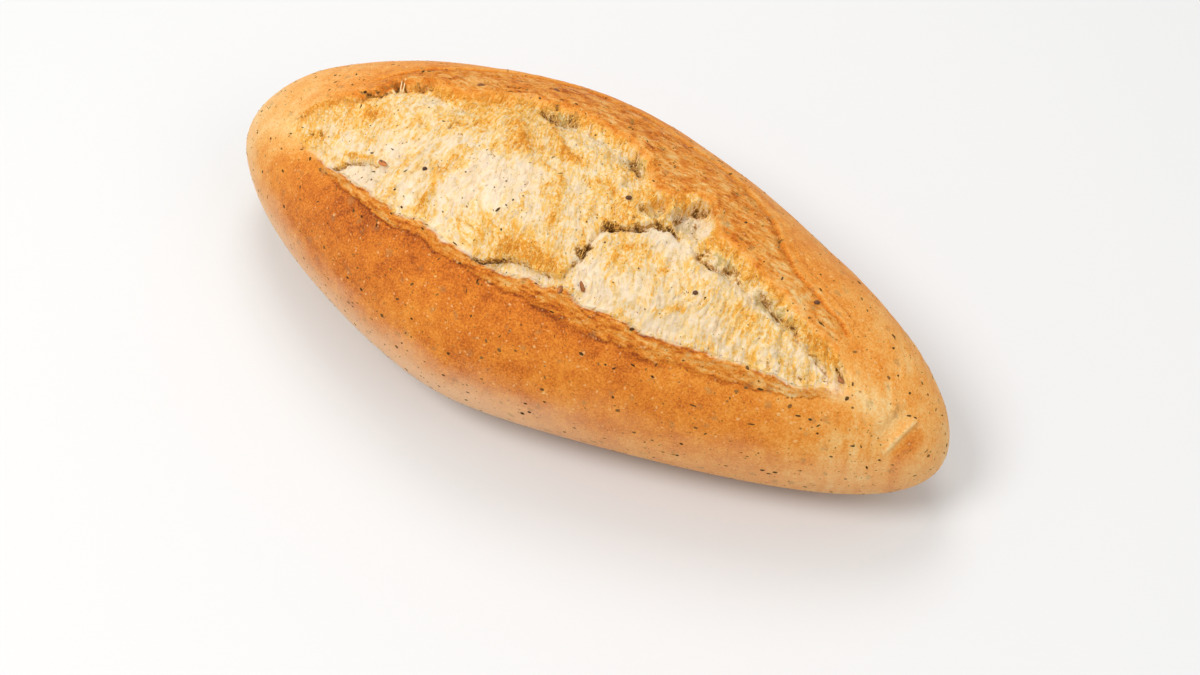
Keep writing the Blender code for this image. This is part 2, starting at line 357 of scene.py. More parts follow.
@dataclass
class Slash:
    """The burst slash: the lips, the crevices, the caves and the ridges of the crumb between them."""

    front: Trail = Trail((
        (-126, -21, 1.5), (-100, -30.3, 2), (-90.5, -33.5, 2.6), (-82, -35.3, 3), (-70, -37.7, 4),
        (-55, -41, 4.3), (-49, -42.3, 4.3), (-38, -41.4, 4.2), (-30, -44, 4), (-15, -45.1, 4),
        (-4, -45.7, 4), (3, -45.1, 4.4), (8.3, -42.5, 5.5), (15, -43, 6.3), (21, -40.2, 8.6),
        (31, -41.8, 7.2), (45, -39.7, 6.6), (57, -38.9, 6.6), (69, -34.9, 6.2), (85, -31.4, 5.4),
        (95.5, -28.3, 4.6), (107, -25.7, 3), (114.5, -21.3, 2.6), (121, -19, 2), (129, -15.5, 1.5)))
    back: Trail = Trail((
        (-126, -19, 2), (-118, -14, 2), (-110, -6, 1), (-97, -1.5, 0.8), (-90, 5, 0.8), (-84, 12, 1.2),
        (-75, 15.5, 1.5), (-62, 16, 5), (-50, 22, 8), (-38, 29, 7), (-28, 31, 3), (-8, 31.5, 2.5),
        (8, 28.5, 2), (16, 25, 2), (22, 17, 2.5), (27, 11, 2.5), (34, 12, 1.8), (40, 18.5, 1.2),
        (47, 18.7, 1.2), (52.5, 12, 1.2), (57, 6, 2), (65, 5, 3), (75, 1.5, 3), (87, -1, 3),
        (95, -4.5, 2.5), (104, -6, 2), (116, -9.5, 2), (129, -14, 2)))
    fold: Trail = Trail((
        (-100, 6), (-84, 24), (-60, 43), (-30, 52), (0, 52), (30, 46), (50, 39), (60, 33), (68.7, 28),
        (72.7, 21.8), (79.6, 15.4), (85.3, 10.4), (100.5, 5.3), (108, 2.8), (117, -3)), 9.0)
    crevices: tuple[Crevice, ...] = (
        Crevice(Trail((
            (-17.5, -45, 1.6), (-12, -44.4, 2.8), (-3.5, -40.6, 2.8), (3, -39, 2.0), (12, -38.6, 1.5),
            (18.2, -37.2, 1.4), (19.6, -30, 1.4), (20, -25, 2.4), (20.2, -19, 1.2), (20.8, -14.5, 2.2),
            (23, -11.6, 3.0), (27.6, -8, 2.2), (31, -5.4, 3.0), (36, -2, 2.4), (41, -0.8, 3.0),
            (44.4, -0.6, 2.4), (49, -3.6, 1.0)), 4.0), 5.0),
        Crevice(Trail((
            (52, -5, 0.8), (55.3, -4, 2.2), (59, -5.6, 1.6), (64, -5.8, 1.6), (68, -4.8, 1.3),
            (73, -5, 1.8), (79, -8, 1.0), (84.7, -6.4, 1.6), (90.4, -8.6, 1.8), (97, -10, 0.8)), 3.0), 4.0,
                wall=1.0, overhang=0.4, browned=0.15),
        Crevice(Trail((
            (-112, -6, 0.5), (-105, -4.2, 0.9), (-100, -4, 1.0), (-96.5, -0.6, 2.0), (-92.5, 2.9, 1.9),
            (-90.6, 6.5, 1.4), (-90, 11, 3.0), (-87, 11.8, 3.0), (-84.5, 11, 1.8), (-79, 14.2, 2.8),
            (-74.5, 15.4, 2.4), (-70.5, 13.6, 1.6), (-66, 11.3, 1.0), (-61, 8.9, 0.8), (-57, 10.2, 1.2),
            (-50.5, 9.4, 0.8)), 3.0), 6.0, browned=0.3, dark_depth=1.5),
        Crevice(Trail((
            (-34, 26, 1.0), (-31, 27.2, 2.0), (-25.3, 25, 2.2), (-19, 27.4, 1.8), (-14, 28.4, 1.3),
            (-8.8, 27.4, 0.9), (-1, 26, 0.8), (6, 25.4, 1.2), (11, 26, 1.8), (14.5, 23, 1.8),
            (18, 19.8, 1.6), (24.6, 14.4, 1.0)), 3.0), 5.0, wall=1.4, overhang=0.3, browned=0.2),
        Crevice(Trail((
            (-88.5, -34, 1.4), (-86.3, -33.2, 2.0), (-83, -31.3, 1.8), (-79.3, -29.5, 1.5),
            (-75.6, -28.7, 1.2), (-70.8, -28.2, 0.9), (-66, -28.5, 0.5)), 2.5), 4.0,
                wall=0.5, overhang=0.6, browned=0.4),
        Crevice(Trail((
            (-124, -20, 0.9), (-120, -17.5, 1.0), (-115, -14.3, 1.0), (-111, -11, 0.8)), 3.0), 2.0,
                wall=0.4, overhang=0.1, brow=0.2, browned=0.1, dark_depth=1.2),
        Crevice(Trail((
            (37.4, 0, 1.0), (38.4, 6, 1.6), (40.4, 13, 2.0), (43.2, 17.2, 2.6), (47, 17.6, 2.0),
            (50.6, 14, 1.4), (53, 8.5, 1.2), (53.8, 3, 0.8)), 2.0), 10.0,
                wall=1.4, browned=0.25, dark_depth=3.6),
        Crevice(Trail((
            (29.6, 0, 1.0), (29, 5, 1.4), (30.6, 9, 1.8), (33.4, 10.4, 1.6), (35.4, 7.5, 1.2),
            (35.8, 3, 0.8)), 2.0), 6.0, wall=1.2, overhang=0.4, brow=0.3, browned=0.05, dark_depth=4.5))
    caves: tuple[Patch, ...] = patches(
        (32.6, 4.2, 3.5, 5.4, -2.4, -10), (45.8, 7.6, 6.6, 9.8, -3.8, 6), (-89, 10.4, 1.9, 2.2, -2.4),
        (105.6, -13, 2.4, 1.2, -1.2, -35), (111.6, -14.6, 3.2, 1.2, -1.5, -28),
        (96.5, -21.5, 1.8, 1.0, -0.8, -40), (18, 9.3, 2.2, 3.4, -0.9, -10), (57, -2, 2.2, 2.4, -1.3),
        (28.6, 1.6, 1.5, 1.8, -1.2), (84.5, -5.4, 3.2, 1.8, -1.0, -20))
    # Spots of painted shade in cracks and holes, each also sunk a little into the skin.
    gaps: tuple[Patch, ...] = patches(
        (-95.5, 0.8, 3.2, 0.55, 0.8, 22), (-92, 2.9, 1.9, 0.6, 0.8, 45), (-89.3, 5.0, 1.8, 0.8, 0.8, 30),
        (-86, 5.2, 1.6, 0.7, 0.5), (-88.2, 9.4, 2.9, 1.2, 1.1, -53), (-85.4, 11.2, 1.4, 0.7, 0.8, -40),
        (-79, 13.8, 2.8, 0.7, 0.75, 35), (-75, 15.4, 2.4, 0.7, 0.5, -10), (-96.3, -1.6, 1.0, 1.2, 0.5),
        (-106.4, -7.8, 0.8, 1.1, 0.5), (-97.9, -8.8, 0.6, 1.4, 0.5), (-86.2, -33.2, 1.0, 0.5, 0.9),
        (-82.6, -31.2, 1.9, 0.6, 0.85, 30), (-78, -29.3, 3.0, 0.6, 0.6, 14), (-71, -28.3, 3, 0.5, 0.45),
        (-106, -23, 1.7, 0.45, 0.7, -5), (-101, -22.8, 1.2, 0.55, 0.8, -40), (-105.5, -29, 1.3, 0.5, 0.6),
        (-98, -25, 1.8, 0.5, 0.4, -30), (-12.4, -44.4, 2.3, 0.7, 0.95, 5), (-9, -43.4, 2.2, 0.8, 0.95, 35),
        (-5.4, -41.2, 2.8, 0.7, 0.95, 22), (-5.5, -43.4, 1, 0.4, 0.6), (-0.5, -39.2, 2.6, 0.6, 0.6, 15),
        (3.5, -38.7, 2, 0.5, 0.45), (13, -38.4, 2.0, 0.7, 0.55, 10), (19.6, -26.4, 2.2, 1.8, 1.0),
        (20.7, -23.4, 1.8, 1.6, 0.95, 30), (19.4, -31, 0.6, 1.6, 0.6), (22.5, -12.3, 2.8, 1.9, 1.05, 40),
        (20.8, -14.8, 0.8, 1.4, 0.6), (26, -9.9, 2.4, 1.4, 0.75, 38), (28.5, -4.6, 0.7, 0.6, 0.9),
        (32.2, -6.4, 2.9, 1.6, 1.05, 6), (29, -7.9, 1.8, 1.1, 0.7, 30), (32.6, 0.2, 1.3, 0.8, 0.8),
        (27.8, 1.8, 1.1, 1.3, 0.7), (36.6, -1.7, 2.6, 1.3, 0.85, -22), (42, -0.4, 3.4, 1.2, 1.0, 6),
        (40.3, 6.6, 0.9, 3.9, 0.75, 4), (43.2, 15.2, 1.3, 1.7, 1.0, 20), (46.2, 16.9, 2.4, 0.9, 0.7),
        (46.3, 9, 1.1, 0.6, 0.7, -35), (33.4, 8.6, 1.5, 0.8, 0.6, -40), (33, 5.8, 1.6, 2.6, 0.3, -12),
        (55.4, -3.5, 0.9, 1.6, 0.9, -30), (57, -1.2, 1.6, 1.7, 0.55), (60, -5.7, 3.6, 0.9, 0.85),
        (67, -4, 1.8, 0.9, 0.75), (68.6, -2.4, 3.4, 1.2, 0.6, -8), (71.6, -4.2, 1.4, 0.5, 0.75, -25),
        (85.6, -6, 1.2, 1.0, 0.65, -40), (83.6, -5.6, 3.4, 1.3, 0.6, -12), (88, -8.3, 1.8, 0.8, 0.8),
        (91, -8.4, 1.4, 0.8, 0.85), (95.6, -8.4, 2.6, 1.0, 0.8, -4), (98.7, -10, 1.7, 0.9, 0.65, -30),
        (100.4, -12, 0.7, 0.7, 0.6), (107, -13.2, 1.6, 0.6, 0.6, 30), (109.4, -15, 0.9, 0.5, 0.8),
        (112.6, -15.6, 1.8, 0.9, 0.55, -20), (115, -17.8, 1.5, 0.6, 0.5, -20),
        (117.2, -12.9, 2.4, 0.8, 0.85, -25), (95.5, -25.5, 1.7, 0.8, 0.5, -40), (107, -22.8, 1, 0.6, 0.6),
        (-31, 27, 1.5, 2.2, 0.9, 40), (-26.5, 26.4, 3.4, 2.2, 0.78, -20), (-20, 29.6, 3, 2.2, 0.72),
        (-17.5, 28.6, 1.8, 1.0, 0.75, -40), (-21, 25.6, 2, 0.6, 0.65), (-25.2, 24, 0.9, 0.7, 0.8),
        (-9, 26.6, 1.1, 0.6, 0.5), (-4, 25, 1.1, 0.9, 0.45), (-28, 31, 1.8, 0.8, 0.8, -45),
        (-49, 32, 1.7, 0.6, 0.8, -10), (-58.6, 28.8, 1, 0.7, 0.75), (-48.6, 39.8, 1.3, 0.6, 0.7),
        (-1.6, 42.7, 2.7, 0.9, 1.0, -55), (12, 23, 1.9, 4.4, 0.75, 15), (15, 19.8, 1.7, 3.0, 0.85, 40),
        (12.4, 17.6, 2.4, 0.7, 0.6), (9.6, 20.4, 1.6, 0.6, 0.5, -30), (16.6, 34.6, 2.2, 1.2, 0.6, -35),
        (-53, -2.6, 0.9, 1.4, 0.55, 20), (-48, -4.5, 1.5, 0.8, 0.5, 20), (-51.5, 0, 1.6, 1.4, 0.42),
        (-31, -6.4, 2.6, 0.5, 0.5, -35), (74.6, 20, 0.8, 1.7, 1.0, 20), (76, 17.2, 0.6, 1.1, 0.7),
        (103.3, -2.4, 0.9, 0.6, 0.8), (108.5, -4.5, 2.0, 0.5, 0.55, -20), (57.5, 26, 1.8, 1.2, 0.6, -45),
        (50.6, 31.6, 2.0, 0.6, 0.8, -20), (58.5, 9.2, 2.4, 0.6, 0.55, -10), (64, 9.4, 1.2, 0.6, 0.6))
    swellings: tuple[Patch, ...] = patches(
        (-28, -18, 26, 18, 1.5), (2, -20, 19, 19, 2.0), (57, -22, 34, 14, 1.4), (-54, -3, 8, 6, 1.0),
        (-70, -14, 12, 10, 0.7), (4, -43, 8, 3, -0.9), (-70, 8.5, 9, 5.5, -1.1, -12),
        (-54.5, 7.6, 6, 2.8, -0.7))
    ridges: tuple[Ridge, ...] = ridges_of(
        (((-35, 15), (-30, 10.3), (-27, 6.6), (-22.7, 2.3), (-19, -0.5)), 2.4, 1.5, 0.36),
        (((-26, 23), (-21.6, 18.3), (-19.5, 15), (-14.7, 12), (-9.3, 8.7), (-2, 7)), 2.2, 1.4, 0.42),
        (((-16, -1.9), (-6.7, -1.9), (-2.4, -4.6), (-0.3, -7.8), (1.3, -12.6), (4, -16.3), (5.3, -28)),
         2.2, 1.2, 0.36),
        (((-43, -12), (-42.4, -26), (-43.2, -33), (-44, -40)), 1.5, 1.2, 0.34),
        (((-56, -16), (-58.5, -23.3), (-58.3, -32)), 1.7, 0.9, 0.34),
        (((-51.3, -9.5), (-51.9, -17)), 1.6, 0.8, 0.34),
        (((-36.3, -10.5), (-38.7, -14.7), (-39.2, -20)), 1.6, 0.8, 0.28),
        (((13, -7), (15.7, -16.3), (17.5, -22)), 1.9, 1.0, 0.34),
        (((47, -20), (49, -25), (51.3, -31)), 1.6, 0.8, 0.3),
        (((57.8, -27), (56.2, -34)), 1.5, 0.7, 0.3),
        (((-43, 19), (-37, 5)), 2.8, 1.3, 0.05),
        (((35.8, 12.5), (37, 7), (38.2, 0.5)), 1.9, 2.0, 0.1),
        (((51.6, 14), (53, 8), (52.6, 2)), 1.7, 1.0, 0.0),
        (((-87, -28), (-79, -26.8), (-71, -26.2)), 1.6, 0.7, 0.4),
        (((-10, -38), (2, -35), (12, -34.5), (18, -32)), 4.2, 0.9, 0.32),
        (((-94.5, -13), (-93, -17), (-93.5, -21)), 1.6, 0.7, 0.3),
        (((-79, -17), (-78, -21), (-78.5, -25)), 1.4, 0.5, 0.25),
        (((-11, -14), (-9, -20), (-6, -26)), 1.6, 0.6, 0.22),
        (((-37, -34), (-37.6, -40)), 1.4, 0.7, 0.25),
        (((-36, 26), (-44, 25), (-52, 20)), 3.0, 0.8, 0.3),
        (((50, -4), (61, -5.5), (73, -4.8), (79, -7.5), (90, -8), (103, -12.5), (113, -15.5)),
         5.5, -1.4, 0.0),
        (((-35, 25), (-25, 23.5), (-12, 24), (0, 22.5), (12, 21.5), (20, 15), (22, 8)), 8.0, -1.5, 0.0))
    stains: tuple[Patch, ...] = patches(
        (-85, -9, 5, 4, 0.42), (-97, -9, 5, 2.5, 0.25, -60), (-44, 6, 3.4, 6, 0.42, 20),
        (-53, -2.5, 5, 3, 0.3), (-54.7, -6.5, 3, 2.5, 0.36), (-28.5, 3.4, 5, 4, 0.25),
        (-6, 8, 7, 3.6, 0.38), (10.4, 2.9, 6, 4, 0.3), (37.6, 12.6, 5, 2.6, 0.35), (22, -2, 6, 4.5, 0.3),
        (33, -16.5, 7, 6, 0.26), (49.5, -17.8, 2.8, 1.2, 0.4, 25), (60, -27, 5, 1.8, 0.34),
        (79, -17, 8, 5, 0.26), (-103, -23, 4, 1.4, 0.3, -10), (-107, -7, 3.4, 2, 0.32),
        (-52, 20, 14, 7, 0.25), (-66, 22, 10, 8, 0.22), (-20, 34, 20, 4, 0.3), (55, 3, 3, 5, 0.3),
        (78, -1, 12, 3.4, 0.3), (-43.5, -37, 2.6, 3.6, 0.4), (6, -34.5, 13, 4.2, 0.28),
        (-15, -39, 6, 3, 0.14))
    # Hollows of the crumb where greenish grey shade is painted.
    pockets: tuple[Patch, ...] = patches(
        (-70, 9, 8, 4.4, 0.5, -12), (-54.5, 7.8, 5.5, 2.2, 0.5), (-24, 26.4, 9, 3.4, 1.1, -8),
        (-6, 24.5, 10, 3, 0.55, -8), (12.5, 21.5, 6.5, 5.4, 1.05), (18, 9, 2.6, 3.6, 0.5),
        (32.5, 3.5, 4, 5.4, 0.65), (45, 6.5, 6.4, 9.4, 0.6), (40.2, 5, 1.6, 5, 0.8, 5),
        (26, -10, 6, 2.4, 0.3, 38), (64, -3.4, 9, 3.6, 0.95, -6), (87, -7.6, 13, 3.6, 1.0, -10),
        (108, -14, 8, 2.6, 0.55, -20), (97, -21, 3, 2, 0.4), (-98, -24, 5, 2, 0.25),
        (-52, -1.5, 5, 2.2, 0.4, 20), (-33, -7, 7, 2.6, 0.35, -20), (-46, -4, 4, 3, 0.25),
        (6, -40.5, 8, 2, 0.25))
    baked: tuple[Patch, ...] = patches(
        (-112, -14, 22, 16, 0.16), (-86, -6, 22, 14, 0.14), (-20, 12, 42, 16, 0.17),
        (-56, 14, 20, 12, 0.13), (62, 2, 22, 6, 0.16), (104, -9, 12, 5, 0.2), (-4, -33, 22, 7, 0.2),
        (40, -17, 14, 8, 0.12), (20, 2, 13, 14, 0.16), (90, -16, 34, 10, 0.14), (-22, -18, 22, 10, -0.16),
        # The two patches of -0.3 on the cave rims, at x 52 and x 30.2, are painted highlights.
        (52, 7, 2.2, 7, -0.3), (30.2, 10.6, 1.8, 2.4, -0.3), (45, 7, 5, 8, -0.12),
        (40, -5, 10, 4, -0.16, -8), (-70, -33, 16, 4, -0.16), (30, -33, 14, 6, -0.10))
    tip: Trail = Trail(((146, -5), (145, -8), (143.6, -13), (142, -18), (140.4, -22.5)), 4.0)
    fibre_lean: Trail = Trail((
        (-125, 0, 0.9), (-95, 0, 0.3), (-60, 0, 0.0), (-40, 0, 0.1), (-15, 0, 0.4), (20, 0, 0.4),
        (50, 0, 0.35), (85, 0, 0.15), (125, 0, 0.5)))
    front_profile: tuple[tuple[float, float], ...] = (
        (-2.4, 0), (-1.35, 0.3), (-1.06, 0.38), (-0.98, 0.05), (-0.85, 0.3), (-0.4, 0.7), (-0.12, 1.1),
        (0, 0.8))
    crumb_profile: tuple[tuple[float, float], ...] = ((0, 0.8), (0.9, -0.6), (3, -1.1), (7, -0.6), (13, 0))
    back_profile: tuple[tuple[float, float], ...] = (
        (-14, 0), (-7, -0.7), (-2, -1.0), (2, 1.1), (8, 0.7), (17, 0))


@dataclass
class SkinMap:
    """What the skin does at each of its points: how it moves, how it is baked, and where shade and
    highlights are painted on it.
    """

    form: LoafForm
    slash: Slash
    x: Array
    y: Array
    z: Array
    relief_fade: float = 12.0
    ends_fade: float = 26.0

    def __post_init__(self) -> None:
        """Works out the places and shares that the other methods use."""
        x, y, z = self.x, self.y, self.z
        self.on_top = np.clip((z - self.form.tip_height) / self.relief_fade, 0, 1)
        self.ragged = self.mottle(1.5)
        self.wander_x = x + 0.9 * self.mottle(6, 3) + 0.3 * self.ragged
        self.wander_y = y + 0.9 * grain(x + 90, y, z, (5, 5, 5), 3)
        self.wander_y += 0.3 * grain(x, y + 40, z, (1.3, 1.3, 1.3))
        first, last = self.slash.front.points[0][0], self.slash.front.points[-1][0]
        self.in_reach = smooth(0, self.ends_fade, np.minimum(x - first, last - x))
        self.from_front = self.slash.front.across(self.wander_x, self.wander_y)
        self.from_back = -self.slash.back.across(self.wander_x, self.wander_y)
        self.lip_reach = smooth(-106, -80, x) * smooth(124, 108, x)
        self.band = self.slash.front.along(x)
        self.crumb = self.crumb_share()
        lean = self.slash.fibre_lean.along(x)
        swirl = 2.6 * self.mottle(17) + 0.8 * self.mottle(5)
        self.fibre_x = x + lean * (y + 12) + swirl
        self.fibre_y = y + 1.5 * grain(x, y + 50, z, (9, 9, 9))
        self.rough = self.rough_share()
        self.pocket_shade = self.pocket_shade_share()
        # dark: where shade is painted, in the crevices and the gaps.
        self.dark = np.zeros(x.shape)
        self.edge = np.zeros(x.shape)
        for crevice in self.slash.crevices:
            edge, dark = crevice.colour(self.wander_x, self.wander_y, self.ragged)
            self.edge, self.dark = np.maximum(self.edge, edge), np.maximum(self.dark, dark)
        self.dark *= smooth(-0.5, 0.25, self.mottle(5))
        self.gap = np.zeros(x.shape)
        # The gaps sink the skin a little, and their shade is painted into the dark mask.
        near_x, near_y = 0.5 * (x + self.wander_x), 0.5 * (y + self.wander_y)
        for gap in self.slash.gaps:
            self.gap = np.maximum(self.gap, gap.amount * smooth(1.6, 0.5, gap.reach(near_x, near_y)))
        self.dark = np.maximum(self.dark, self.gap)
        self.torn = self.torn_relief()
        # Greenish grey shade is painted in the low parts of the torn crumb as well.
        self.pocket_shade = np.maximum(self.pocket_shade, 0.34 * smooth(-0.3, -1.0, self.torn) * self.crumb)

    def mottle(self, size: float, octaves: int = 2) -> Array:
        """Noise of a wavelength in millimetres over the skin, about -1 to 1."""
        return grain(self.x, self.y, self.z, (size, size, size), octaves)

    def crest(self, apart: float, long: float, sharp: float = 2.4) -> Array:
        """Sharp crests of torn fibres, from 0 to 1, so far apart and so long."""
        swing = grain(self.fibre_x, self.fibre_y, self.z * 0.3, (apart, long, long), 2)
        return np.clip(1 - np.abs(swing) * sharp, 0, 1)

    def crumb_share(self) -> Array:
        """How far each place is torn crumb and not crust, from 0 to 1.

        Returns:
            The share at each point.
        """
        softness = self.slash.back.along(self.x)
        spread = 1 + 9 * smooth(-88, -120, self.x) + 5 * smooth(104, 124, self.x)
        front = smooth(-0.4, 0.5, self.from_front / spread)
        back = smooth(-0.5, 0.5, self.from_back / softness)
        ends = smooth(-129, -108, self.wander_x) * smooth(130, 112, self.wander_x)
        return front * back * ends * self.on_top

    def rough_share(self) -> Array:
        """How far each place is the rough browned crust between the slash and the fold behind it.

        Returns:
            The share at each point.
        """
        beyond = -self.slash.fold.across(self.wander_x, self.wander_y)
        ends = smooth(-102, -84, self.x) * smooth(118, 104, self.x)
        return smooth(0, 3.5, beyond) * smooth(1, -3, self.from_back) * ends * self.on_top

    def pocket_shade_share(self) -> Array:
        """Where greenish grey shade is painted on the crumb in its hollows and deep recesses, from 0 to 1.

        Returns:
            The share at each point.
        """
        share = np.zeros(self.x.shape)
        for pocket_shade in self.slash.pockets:
            share = np.maximum(share, pocket_shade.soft(self.wander_x, self.wander_y))
        uneven = 0.75 + 0.6 * grain(self.x, self.y, self.z, (2.4, 3.5, 3.5), 2)
        return np.clip(share * uneven * self.crumb, 0, 1)

    def torn_relief(self) -> Array:
        """Relief of the torn crumb: long ridges, fine fibres, crinkles and small pits.

        Returns:
            The rise at each point, in millimetres.
        """
        x, y, z = self.x, self.y, self.z
        pits = bump(cells(self.fibre_x, self.fibre_y * 0.6, z, 2.2), 0.42)
        relief = 0.85 * (self.crest(9, 28) ** 1.4 - 0.4) + 0.85 * (self.crest(3.4, 12) - 0.45)
        relief += 0.75 * (self.crest(1.8, 7, 2.2) - 0.5)
        crinkles = np.clip(1 - 2.2 * np.abs(self.mottle(4.2, 3)), 0, 1)
        relief += 0.34 * (crinkles - 0.5) + 0.22 * self.ragged
        return relief * (1 - 0.4 * self.pocket_shade) - pits * (0.3 + 0.9 * self.pocket_shade)

    def lips(self) -> Array:
        """Rise of the crust's lips, and of the crumb just inside them.

        Returns:
            The rise at each point, in millimetres.
        """
        slash = self.slash
        outside = np.interp(self.from_front / self.band, *np.array(slash.front_profile, float).T)
        inside = np.interp(self.from_front, *np.array(slash.crumb_profile, float).T)
        front = np.where(self.from_front < 0, outside, inside)
        back = np.interp(-self.from_back, *np.array(slash.back_profile, float).T)
        return self.lip_reach * front + self.in_reach * back

    def rise(self) -> tuple[Array, Array, Array]:
        """How far the skin moves out, and how far it is pushed along x and y.

        Returns:
            The move outwards and the push along x and y, in millimetres.
        """
        slash = self.slash
        x, y, z = self.x, self.y, self.z
        out = self.lips()
        push_x, push_y = np.zeros(x.shape), np.zeros(x.shape)
        for crevice in slash.crevices:
            lift, along, across = crevice.shape(self.wander_x, self.wander_y)
            out, push_x, push_y = out + lift, push_x + along, push_y + across
        for cave in slash.caves:
            out += cave.steep(self.wander_x, self.wander_y)
        out -= self.gap
        for swelling in slash.swellings:
            out += swelling.soft(x, y)
        for ridge in slash.ridges:
            out += ridge.shape(self.wander_x, self.wander_y)[0]
        out += self.crumb * self.torn
        out += self.rough * self.flaky()
        out += self.wrinkled_lip()
        out += 0.7 * self.mottle(38, 1) + 0.25 * self.mottle(13, 1)
        side, fold, _, _ = slash.fold.measure(self.wander_x, self.wander_y)
        out += fold * (0.55 * bump(side + 1.4, 1.8) - 0.8 * bump(side, 1.1) + 0.35 * bump(side + 4.6, 1.3))
        out += self.tip_fold()
        return out * self.on_top, push_x * self.on_top, push_y * self.on_top

    def flaky(self) -> Array:
        """Relief of the rough crust behind the slash.

        Returns:
            The rise at each point, in millimetres.
        """
        flow = self.slash.back.across(self.x, self.y)
        layers = np.abs(grain(self.x, flow, self.z, (7, 2.4, 4), 3))
        return 0.5 - 1.3 * layers + 0.25 * self.ragged

    def wrinkled_lip(self) -> Array:
        """Relief of the rough band of the front lip: thin layers that run along it."""
        layers = grain(self.x, self.from_front, self.z, (9, 1.4, 8), 3)
        return self.lip_share() * (0.65 * layers + 0.25 * self.ragged)

    def lip_share(self) -> Array:
        """How far each place is the rough band of the front lip, from 0 to 1."""
        return smooth(-1.15, -0.85, self.from_front / self.band) * (self.from_front < 0.6) * self.lip_reach

    def tip_fold(self) -> Array:
        """Relief of the fold across the right tip.

        Returns:
            The rise at each point, in millimetres.
        """
        side, value, _, _ = self.slash.tip.measure(self.x, self.y)
        ridge = 1.3 * bump(side, 1.0) - 1.3 * bump(side - 3.4, 3.2) + 0.3 * bump(side + 5, 4)
        return 0.75 * value * ridge + 0.35 * self.stretch_marks()

    def stretch_marks(self) -> Array:
        """Streaks of stretched skin between the slash's right end and the tip, about -1 to 1."""
        along, aside = 0.84 * self.y - 0.54 * self.x, 0.84 * self.x + 0.54 * self.y
        return grain(aside, along, self.z, (2.2, 18, 18), 2) * bump((self.x - 131) / 17, 1)

    def crumb_browning_and_painted_light(self) -> Array:
        """How browned the crumb is, from 0 for pale cream to 1, with painted shade in its grooves and
        painted highlights on two cave rims.

        Returns:
            The browning at each point.
        """
        x, y, z = self.x, self.y, self.z
        patchy = smooth(-0.3, 0.5, self.mottle(13))
        high = smooth(-0.2, 0.9, self.torn)
        browned = 0.10 + 0.26 * high * (0.25 + 0.75 * patchy) + 0.14 * patchy + 0.12 * self.mottle(3.5)
        # The first term browns the low parts of the torn relief: painted warm shade in the grooves.
        browned += 0.14 * smooth(-0.15, -0.8, self.torn) + 0.16 * smooth(-88, -122, x)
        # Baked patches: browning, with two painted highlights on cave rims among them.
        for patch in self.slash.baked:
            browned += patch.soft(x, y)
        browned += self.edge * (0.8 + 0.5 * self.ragged)
        for ridge in self.slash.ridges:
            browned += ridge.shape(self.wander_x, self.wander_y)[1] * (0.8 + 0.5 * self.ragged)
        for stain in self.slash.stains:
            browned += stain.soft(self.wander_x, self.wander_y) * (0.7 + 0.6 * high)
        browned += 0.24 * smooth(8, 0, self.from_back)
        return np.clip(browned - 0.3 * self.pocket_shade, 0, 1)

    def crust_browning(self) -> Array:
        """How dark the crust is baked, from 0 for pale gold to 1 for deep red brown.

        Returns:
            The browning at each point.
        """
        x, y, z = self.x, self.y, self.z
        station = x / (self.form.length / 2)
        browned = 0.47 + 0.10 * self.mottle(34) + 0.09 * self.mottle(8, 3)
        browned -= 0.34 * smooth(0.62, 0.97, -station) + 0.14 * smooth(0.6, 0.9, station)
        in_front = smooth(0, -8, self.from_front)
        browned += 0.11 * in_front * smooth(90, -10, x) - 0.05 * (1 - in_front) * smooth(20, 90, x)
        below_lip = np.clip(-self.from_front - self.band, 0, None)
        along = smooth(-104, -70, x) * smooth(112, 40, x)
        browned += 0.20 * np.exp(-below_lip / 14) * (self.from_front < 0) * along * self.on_top
        share = self.from_front / self.band
        browned += 0.26 * bump(share + 1.02, 0.15) * self.lip_reach * (0.7 + 0.6 * self.mottle(9))
        lip = smooth(-1.0, -0.86, share) * (self.from_front < 1) * self.lip_reach
        layers = grain(x, self.from_front, z, (8, 1.2, 8), 3)
        browned += lip * (-0.12 - 0.14 * smooth(30, -20, x) + 0.3 * layers + 0.1 * self.ragged)
        browned += 0.24 * bump(self.from_front + 0.2, 0.7) * self.lip_reach
        flow = self.slash.back.across(x, y)
        streaks = grain(x, flow, z, (6, 1.4, 4), 3)
        scorched = 0.18 * smooth(0.0, 0.5, self.mottle(6, 3))
        browned += self.rough * (-0.02 - 0.12 * smooth(30, 85, x) + 0.34 * streaks + scorched)
        left_end = smooth(-8, 6, self.from_front) * smooth(-8, 4, self.from_back)
        browned -= 0.22 * bump((x + 118) / 22, 1) * left_end
        right_end = smooth(-6, 4, self.from_front) * smooth(-10, 3, self.from_back)
        browned -= 0.13 * bump((x - 128) / 20, 1) * right_end
        side, value, _, _ = self.slash.tip.measure(x, y)
        strip = 0.3 * bump(side + 3.6, 3.6) - 0.13 * bump(side - 3.4, 3.4) - 0.28 * bump(side, 0.7)
        browned += value * strip
        browned += 0.22 * self.stretch_marks()
        side, value, _, _ = self.slash.fold.measure(self.wander_x, self.wander_y)
        folded = 0.30 * bump(side, 0.9) - 0.14 * bump(side + 1.5, 1.0) + 0.16 * bump(side + 5.8, 0.9)
        browned += value * folded
        return np.clip(browned, 0, 1)

    def flour(self) -> Array:
        """How pale the crust is towards the base it was baked on, from 0 to 1.

        Returns:
            The paleness at each point.
        """
        uneven = 5 * grain(self.x, self.y, self.z, (22, 22, 10), 2) + 2.5 * self.ragged
        share = (0.35 + 0.65 * smooth(70, -10, self.x)) * (0.5 + 0.5 * smooth(30, -30, self.y))
        return smooth(52, 26, self.z + uneven) * share


